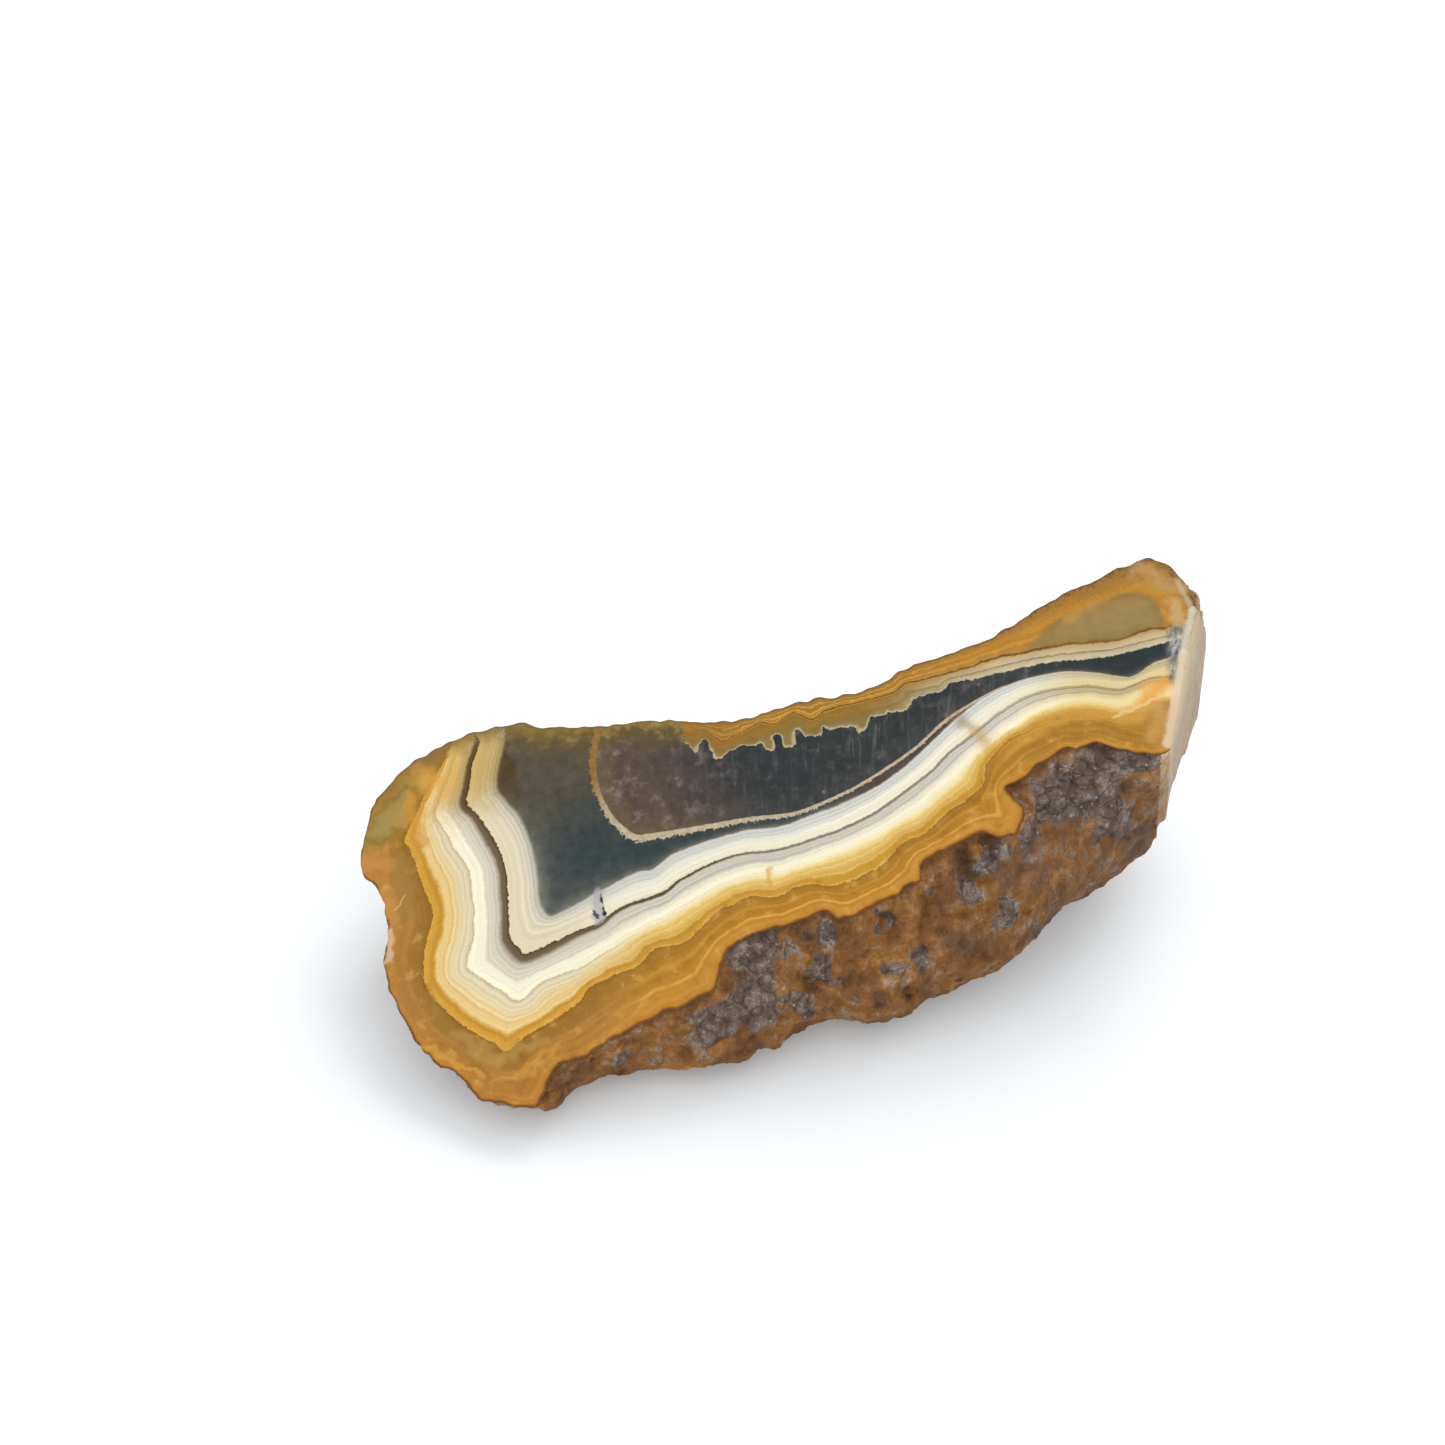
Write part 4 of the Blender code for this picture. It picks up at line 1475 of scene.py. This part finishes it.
    def edge_stains(self, shader: Shader, face: FaceWires, colour: Wire) -> Wire:
        """Lay the stains that follow the top, the rim and the front edge over a colour.

        Args:
            shader: The material's nodes.
            face: The place on the face.
            colour: What lies below.

        Returns:
            The colour with the stains.
        """
        u, v, rim = face.u, face.v, face.rim
        ragged = face.ragged
        honey = (v + 1.2 * ragged).rise(11.0, 17.5) * (u + 0.4 * ragged).fall(-24.2, -23.2)
        inside = (face.white + 0.9).rise(0.0, 0.8)
        colour = shader.mix(colour, shade(224, 196, 132), honey * inside * 0.9, "MULTIPLY")
        top = (v + ragged).rise(14.0, 17.5) * face.dark.fall(-1.1, -0.5) * inside
        colour = shader.mix(colour, shade(222, 172, 88), top * 0.6)
        edge = (rim + 0.7 * ragged).fall(0.1, 2.2) * (v + ragged).rise(16.5, 20.0)
        colour = shader.mix(colour, shade(134, 110, 56), edge * 0.8)
        brown = (rim + 0.1 * ragged).fall(0.0, 0.35) * (v - 0.3 * u).rise(-1.0, 4.0)
        colour = shader.mix(colour, shade(112, 84, 40), brown * 0.6)
        rust = (rim + 0.12 * ragged).fall(0.0, 0.4) * v.fall(-6.0, -2.0)
        return shader.mix(colour, shade(118, 72, 28), rust * 0.75)

    def marks(self, shader: Shader, face: FaceWires, colour: Wire) -> Wire:
        """Lay the soft strokes, the crack and the veins over a colour.

        Args:
            shader: The material's nodes.
            face: The place on the face.
            colour: What lies below.

        Returns:
            The colour with the marks.
        """
        u, v = face.u, face.v
        ragged = face.ragged
        soft_u = u + 1.1 * shader.noise(face.place, 2.6, 3.0)
        soft_v = v + 1.1 * shader.noise(shader.vector(v, u, 4.0), 2.6, 3.0)
        colour = self.strokes(shader, colour, (soft_u, soft_v), STROKES, 0.2 * ragged)
        vein = shader.away(soft_u, v, (19.5, 4.6), (21.2, 1.4)) + 0.25 * ragged
        stain = shader.mix(shade(206, 160, 62), shade(150, 132, 78), v.rise(2.0, 4.5))
        colour = shader.mix(colour, stain, vein.fall(0.0, 1.7) * 0.6)
        for thin in VEINS:
            away = shader.away(soft_u if thin.drifts else u, v, thin.start, thin.end)
            mask = (away + thin.ragged * ragged).fall(thin.full, thin.gone)
            colour = shader.mix(colour, thin.tone, mask * thin.strength)
        return colour

    def broken_corner(self, shader: Shader, face: FaceWires, colour: Wire) -> Wire:
        """Lay the broken patch and the pale strip at the right over a colour.

        Args:
            shader: The material's nodes.
            face: The place on the face.
            colour: What lies below.

        Returns:
            The colour with the patch and the strip.
        """
        u, v = face.u, face.v
        ragged = face.ragged
        broken = shader.away(u, v, (42.8, 5.6), (41.0, 1.2)) + 0.35 * ragged
        chips = shader.noise(shader.vector(u - v * 0.5, v * 0.4, 0.0), 0.8, 3.0, 0.6)
        shards = shader.ramp(0.5 + 0.5 * chips + 0.3 * ragged, SHARDS)
        colour = shader.mix(colour, shards, broken.fall(0.4, 1.5) * 0.8)
        return self.strokes(shader, colour, (u, v), RIGHT_STRIP, 0.35 * ragged)

    @staticmethod
    def strokes(
        shader: Shader, colour: Wire, at: tuple[Wire, Wire], strokes: Sequence[Stroke],
        ragged: Wire,
    ) -> Wire:
        """Lay soft strokes over a colour.

        Args:
            shader: The material's nodes.
            colour: What lies below.
            at: The place's u and v.
            strokes: The strokes, from the lowest up.
            ragged: The roughness of their edges.

        Returns:
            The colour with the strokes.
        """
        for stroke in strokes:
            away = shader.away(*at, stroke.start, stroke.end) / stroke.radius
            mask = (away + ragged).fall(1.0 - stroke.softness, 1.0) * stroke.strength
            colour = shader.mix(colour, stroke.tone, mask)
        return colour


@dataclass(frozen=True)
class RindFinish:
    """The rough rind: rusty clay colours and grey knobbly quartz, with painted shade in its hollows,
    seams, pits, low places and lower parts, and painted glints.
    """

    roughness: float = 0.74
    bump: float = 0.001
    specular: float = 0.4
    lump_size: float = 1.67
    pebble_size: float = 0.75
    tint_scale: float = 0.6

    def material(self) -> bpy.types.Material:
        """Return the rind's material.

        Returns:
            The material.
        """
        shader = Shader("agate_rind")
        place = shader.attribute("place")
        u, v, height = shader.parts(place)
        grey, hollow, back = shader.parts(shader.attribute("rind_marks"))
        relief = shader.wire("ShaderNodeAttribute", {"attribute_name": "relief"}, {}, "Fac")
        broad = shader.noise(place, 4.5, 4.0, 0.6)
        middle = shader.noise(place, 1.5, 5.0, 0.65)
        fine = shader.noise(place, 0.45, 4.0, 0.7)
        rust = shader.ramp(0.5 + 0.5 * broad + 0.35 * middle + 0.14 * fine, rgb(
            (0.02, 104, 72, 44), (0.2, 148, 100, 54), (0.4, 176, 118, 58), (0.58, 194, 130, 58),
            (0.78, 214, 146, 64), (0.98, 218, 170, 112),
        ))
        stone = shader.ramp(0.5 + 0.5 * middle + 0.25 * fine, rgb(
            (0.02, 78, 62, 54), (0.25, 116, 98, 88), (0.48, 144, 128, 118), (0.72, 170, 156, 146),
            (0.98, 212, 200, 188),
        ))
        wash = (0.8 * middle - 0.6 * broad + 0.5 * u.rise(4.0, 26.0)).rise(0.0, 1.0)
        colour = shader.mix(rust, shade(148, 116, 96), wash * 0.75)
        patch = 1.3 * grey + 0.5 * middle + 0.5 * broad + 0.15 * fine + 0.35 * back
        patch = patch.rise(0.0, 0.7)
        colour = shader.mix(colour, stone, patch * 0.85)
        warped = shader.vector(u + 0.16 * fine, v + 0.3 * middle, height + 0.1 * fine)
        tint, _, _ = shader.parts(shader.wire(
            "ShaderNodeTexVoronoi", {"feature": "F1"},
            {"Vector": warped, "Scale": self.tint_scale}, "Color",
        ))
        colour = shader.brighten(colour, 0.84 + 0.32 * tint)
        # Painted shade: dark thin lines along the seams between the knobs.
        painted_seam_shade = shader.cells(warped, self.lump_size, "DISTANCE_TO_EDGE")
        knobbly = 0.3 + 0.7 * patch
        colour = shader.mix(colour, shade(72, 50, 36), painted_seam_shade.fall(0.0, 0.12) * knobbly * 0.5)
        lump = shader.cells(warped, self.lump_size)
        pebble = shader.cells(warped, self.pebble_size)
        # Painted highlights: light glints along thin arcs on the grey patches.
        glints = shader.cells(place, 0.7, "DISTANCE_TO_EDGE") + 0.05 * fine
        sparkle = glints.fall(0.01, 0.07) * patch * middle.rise(0.0, 0.4)
        colour = shader.mix(colour, shade(220, 208, 198), sparkle * 0.8)
        flecks = shader.cells(place, 0.9) + 0.06 * fine
        colour = shader.mix(colour, shade(222, 212, 202), flecks.fall(0.08, 0.2) * patch * 0.7)
        # Painted shade: dark spots that stand for the shade in small pits.
        painted_pit_shade = shader.cells(place, 4.3) + 0.06 * middle + 0.03 * fine
        colour = shader.mix(colour, shade(60, 42, 32), painted_pit_shade.fall(0.04, 0.14) * 0.7)
        # Painted shade: darker where the relief is low.
        low = (0.3 * fine + 0.5 * middle - 2.4 * relief).rise(0.15, 1.4)
        colour = shader.mix(colour, shade(66, 44, 30), low * 0.6)
        # Painted shade: darker in the hollows.
        painted_crevice_shade = (0.6 * hollow + 0.5 * fine * hollow.rise(0.05, 0.3)).rise(0.2, 0.9)
        colour = shader.mix(colour, shade(50, 38, 30), painted_crevice_shade * 0.9)
        edge = (-height + 0.3 * middle).fall(0.05, 0.7)
        colour = shader.mix(colour, shade(104, 64, 34), edge * 0.65)
        # Painted shade: the lower parts of the rind darker.
        colour = shader.brighten(colour, 1.0 - 0.26 * (-height).rise(6.0, 12.0))
        bumps = fine * 0.35 + middle * 0.35 - (lump * lump * 1.5 + pebble * pebble * 0.5) * knobbly
        return shader.finish({
            "Base Color": colour,
            "Roughness": self.roughness - 0.25 * patch + 0.15 * fine,
            "Normal": shader.bump(bumps, self.bump),
            "Specular IOR Level": self.specular,
        })


@dataclass(frozen=True)
class BrokenEndFinish:
    """The smooth broken end: olive tan, cloudy, with faint bands and a darker edge."""

    roughness: float = 0.42
    bump: float = 0.0001
    bump_strength: float = 0.6
    specular: float = 0.4

    def material(self) -> bpy.types.Material:
        """Return the broken end's material.

        Returns:
            The material.
        """
        shader = Shader("agate_broken_end")
        place = shader.attribute("place")
        u, v, height = shader.parts(place)
        clouds = shader.noise(place, 4.0, 4.0, 0.6)
        fine = shader.noise(place, 0.7, 3.0, 0.6)
        colour = shader.ramp((v + 6.0) / 20.0 + 0.12 * clouds, rgb(
            (0.0, 184, 140, 84), (0.25, 202, 166, 108), (0.42, 200, 168, 104),
            (0.7, 190, 160, 98), (1.0, 180, 138, 74),
        ))
        layers = shader.noise(shader.vector(height * 1.2, v * 0.15, u * 0.15), 1.0, 3.0, 0.6)
        depth = -height
        lower = (depth + 0.8 * clouds).rise(1.5, 5.0)
        colour = shader.mix(colour, shade(150, 126, 78), lower * 0.5)
        colour = shader.brighten(colour, 1.0 + 0.18 * layers + 0.1 * fine)
        edge = (depth + 0.3 * fine).fall(0.1, 0.9)
        colour = shader.mix(colour, shade(222, 200, 160), edge * 0.6)
        foot = (depth + 1.2 * clouds).rise(4.0, 10.0)
        colour = shader.mix(colour, shade(128, 92, 52), foot * 0.65)
        return shader.finish({
            "Base Color": colour,
            "Roughness": self.roughness + 0.08 * fine,
            "Normal": shader.bump(clouds + fine * 0.4, self.bump, self.bump_strength),
            "Specular IOR Level": self.specular,
        })


@dataclass
class Nodule:
    """The stone: one closed piece with its three finishes."""

    body: NoduleBody = field(default_factory=NoduleBody)
    bands: BandMap = field(default_factory=BandMap)
    cut: CutFaceFinish = field(default_factory=CutFaceFinish)
    rind: RindFinish = field(default_factory=RindFinish)
    end: BrokenEndFinish = field(default_factory=BrokenEndFinish)

    def build(self) -> bpy.types.Object:
        """Return the finished stone, in metres and in its place.

        Returns:
            The stone's object.
        """
        mesh = self.body.mesh()
        data = bpy.data.meshes.new("agate_half")
        mesh.to_mesh(data)
        mesh.free()
        self.bands.write(data)
        data.transform(Matrix.Scale(MM, 4) @ self.body.to_stone)
        for finish in (self.cut, self.rind, self.end):
            data.materials.append(finish.material())
        piece = bpy.data.objects.new("agate_half", data)
        bpy.context.scene.collection.objects.link(piece)
        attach(piece, "root")
        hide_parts("nodule_half")
        return piece


@dataclass(frozen=True)
class Lamp:
    """A soft square light: its place and width in metres, and its power in watts."""

    name: str
    place: tuple[float, float, float]
    size: float
    power: float


LAMPS = (
    Lamp("light_back", (0.35, 0.7, 0.72), 0.7, 4.5),
    Lamp("light_left", (-0.8, 0.1, 0.6), 0.9, 0.25),
    Lamp("light_right", (0.8, 0.3, 0.6), 0.9, 0.9),
    Lamp("light_front", (0.4, -0.75, 0.5), 1.0, 0.9),
)


@dataclass
class Studio:
    """A plain pale floor, soft light and the camera at the photograph's viewing angle."""

    floor_size: float = 3.0
    floor_gap: float = 0.00005
    floor_grain: float = 0.05
    floor_shades: tuple[Colour, Colour] = (shade(240, 246, 250), shade(246, 250, 253))
    floor_roughness: float = 0.6
    floor_glow: Colour = (0.96, 0.99, 1.0, 1.0)
    floor_glow_strength: float = 0.12
    room_light: Colour = (0.98, 0.99, 1.0, 1.0)
    room_strength: float = 0.78
    camera_shift: tuple[float, float, float] = (-6.553, -142.56, 133.25)
    camera_tilt: float = math.radians(50.0)
    lens: float = 50.0
    sensor: float = 36.0

    def build(self) -> None:
        """Make the floor, the lights, the world and the camera."""
        self.floor()
        for lamp in LAMPS:
            self.light(lamp)
        world = bpy.data.worlds.new("soft_room")
        world.use_nodes = True
        background = world.node_tree.nodes["Background"]
        background.inputs["Color"].default_value = self.room_light
        background.inputs["Strength"].default_value = self.room_strength
        bpy.context.scene.world = world
        bpy.context.scene.view_settings.view_transform = "Standard"
        self.camera()

    def floor(self) -> None:
        """Make the pale floor."""
        mesh = bmesh.new()
        bmesh.ops.create_grid(mesh, x_segments=1, y_segments=1, size=self.floor_size / 2.0)
        data = bpy.data.meshes.new("floor")
        mesh.to_mesh(data)
        mesh.free()
        shader = Shader("pale_floor")
        place = shader.wire("ShaderNodeTexCoord", {}, {}, "Object")
        grain = shader.noise(place, self.floor_grain, 3.0)
        data.materials.append(shader.finish({
            "Base Color": shader.mix(*self.floor_shades, 0.5 + 0.5 * grain),
            "Roughness": self.floor_roughness,
            "Emission Color": self.floor_glow,
            "Emission Strength": self.floor_glow_strength,
        }))
        floor = bpy.data.objects.new("floor", data)
        floor.location.z = -self.floor_gap
        bpy.context.scene.collection.objects.link(floor)

    @staticmethod
    def light(lamp: Lamp) -> None:
        """Make one light that points at the stone's foot.

        Args:
            lamp: The light.
        """
        data = bpy.data.lights.new(lamp.name, "AREA")
        data.size = lamp.size
        data.energy = lamp.power
        holder = bpy.data.objects.new(lamp.name, data)
        holder.location = lamp.place
        holder.rotation_euler = (-Vector(lamp.place)).to_track_quat("-Z", "Y").to_euler()
        bpy.context.scene.collection.objects.link(holder)

    def camera(self) -> None:
        """Make the camera."""
        view = bpy.data.cameras.new("camera")
        view.lens = self.lens
        view.sensor_width = self.sensor
        holder = bpy.data.objects.new("camera", view)
        holder.location = (Vector(CutPlane().point) + Vector(self.camera_shift)) * MM
        holder.rotation_euler = (self.camera_tilt, 0.0, 0.0)
        bpy.context.scene.collection.objects.link(holder)
        bpy.context.scene.camera = holder


def main() -> None:
    """Build the stone and the studio, and report each piece."""
    logging.basicConfig(level=logging.INFO, format="%(name)s: %(message)s")
    noise.seed_set(NOISE_SEED)
    stone = Nodule().build()
    LOG.info("%s: %d faces", stone.name, len(stone.data.polygons))
    Studio().build()
    LOG.info("studio: floor, %d lights, camera", len(bpy.data.lights))


if __name__ == "__main__":
    main()
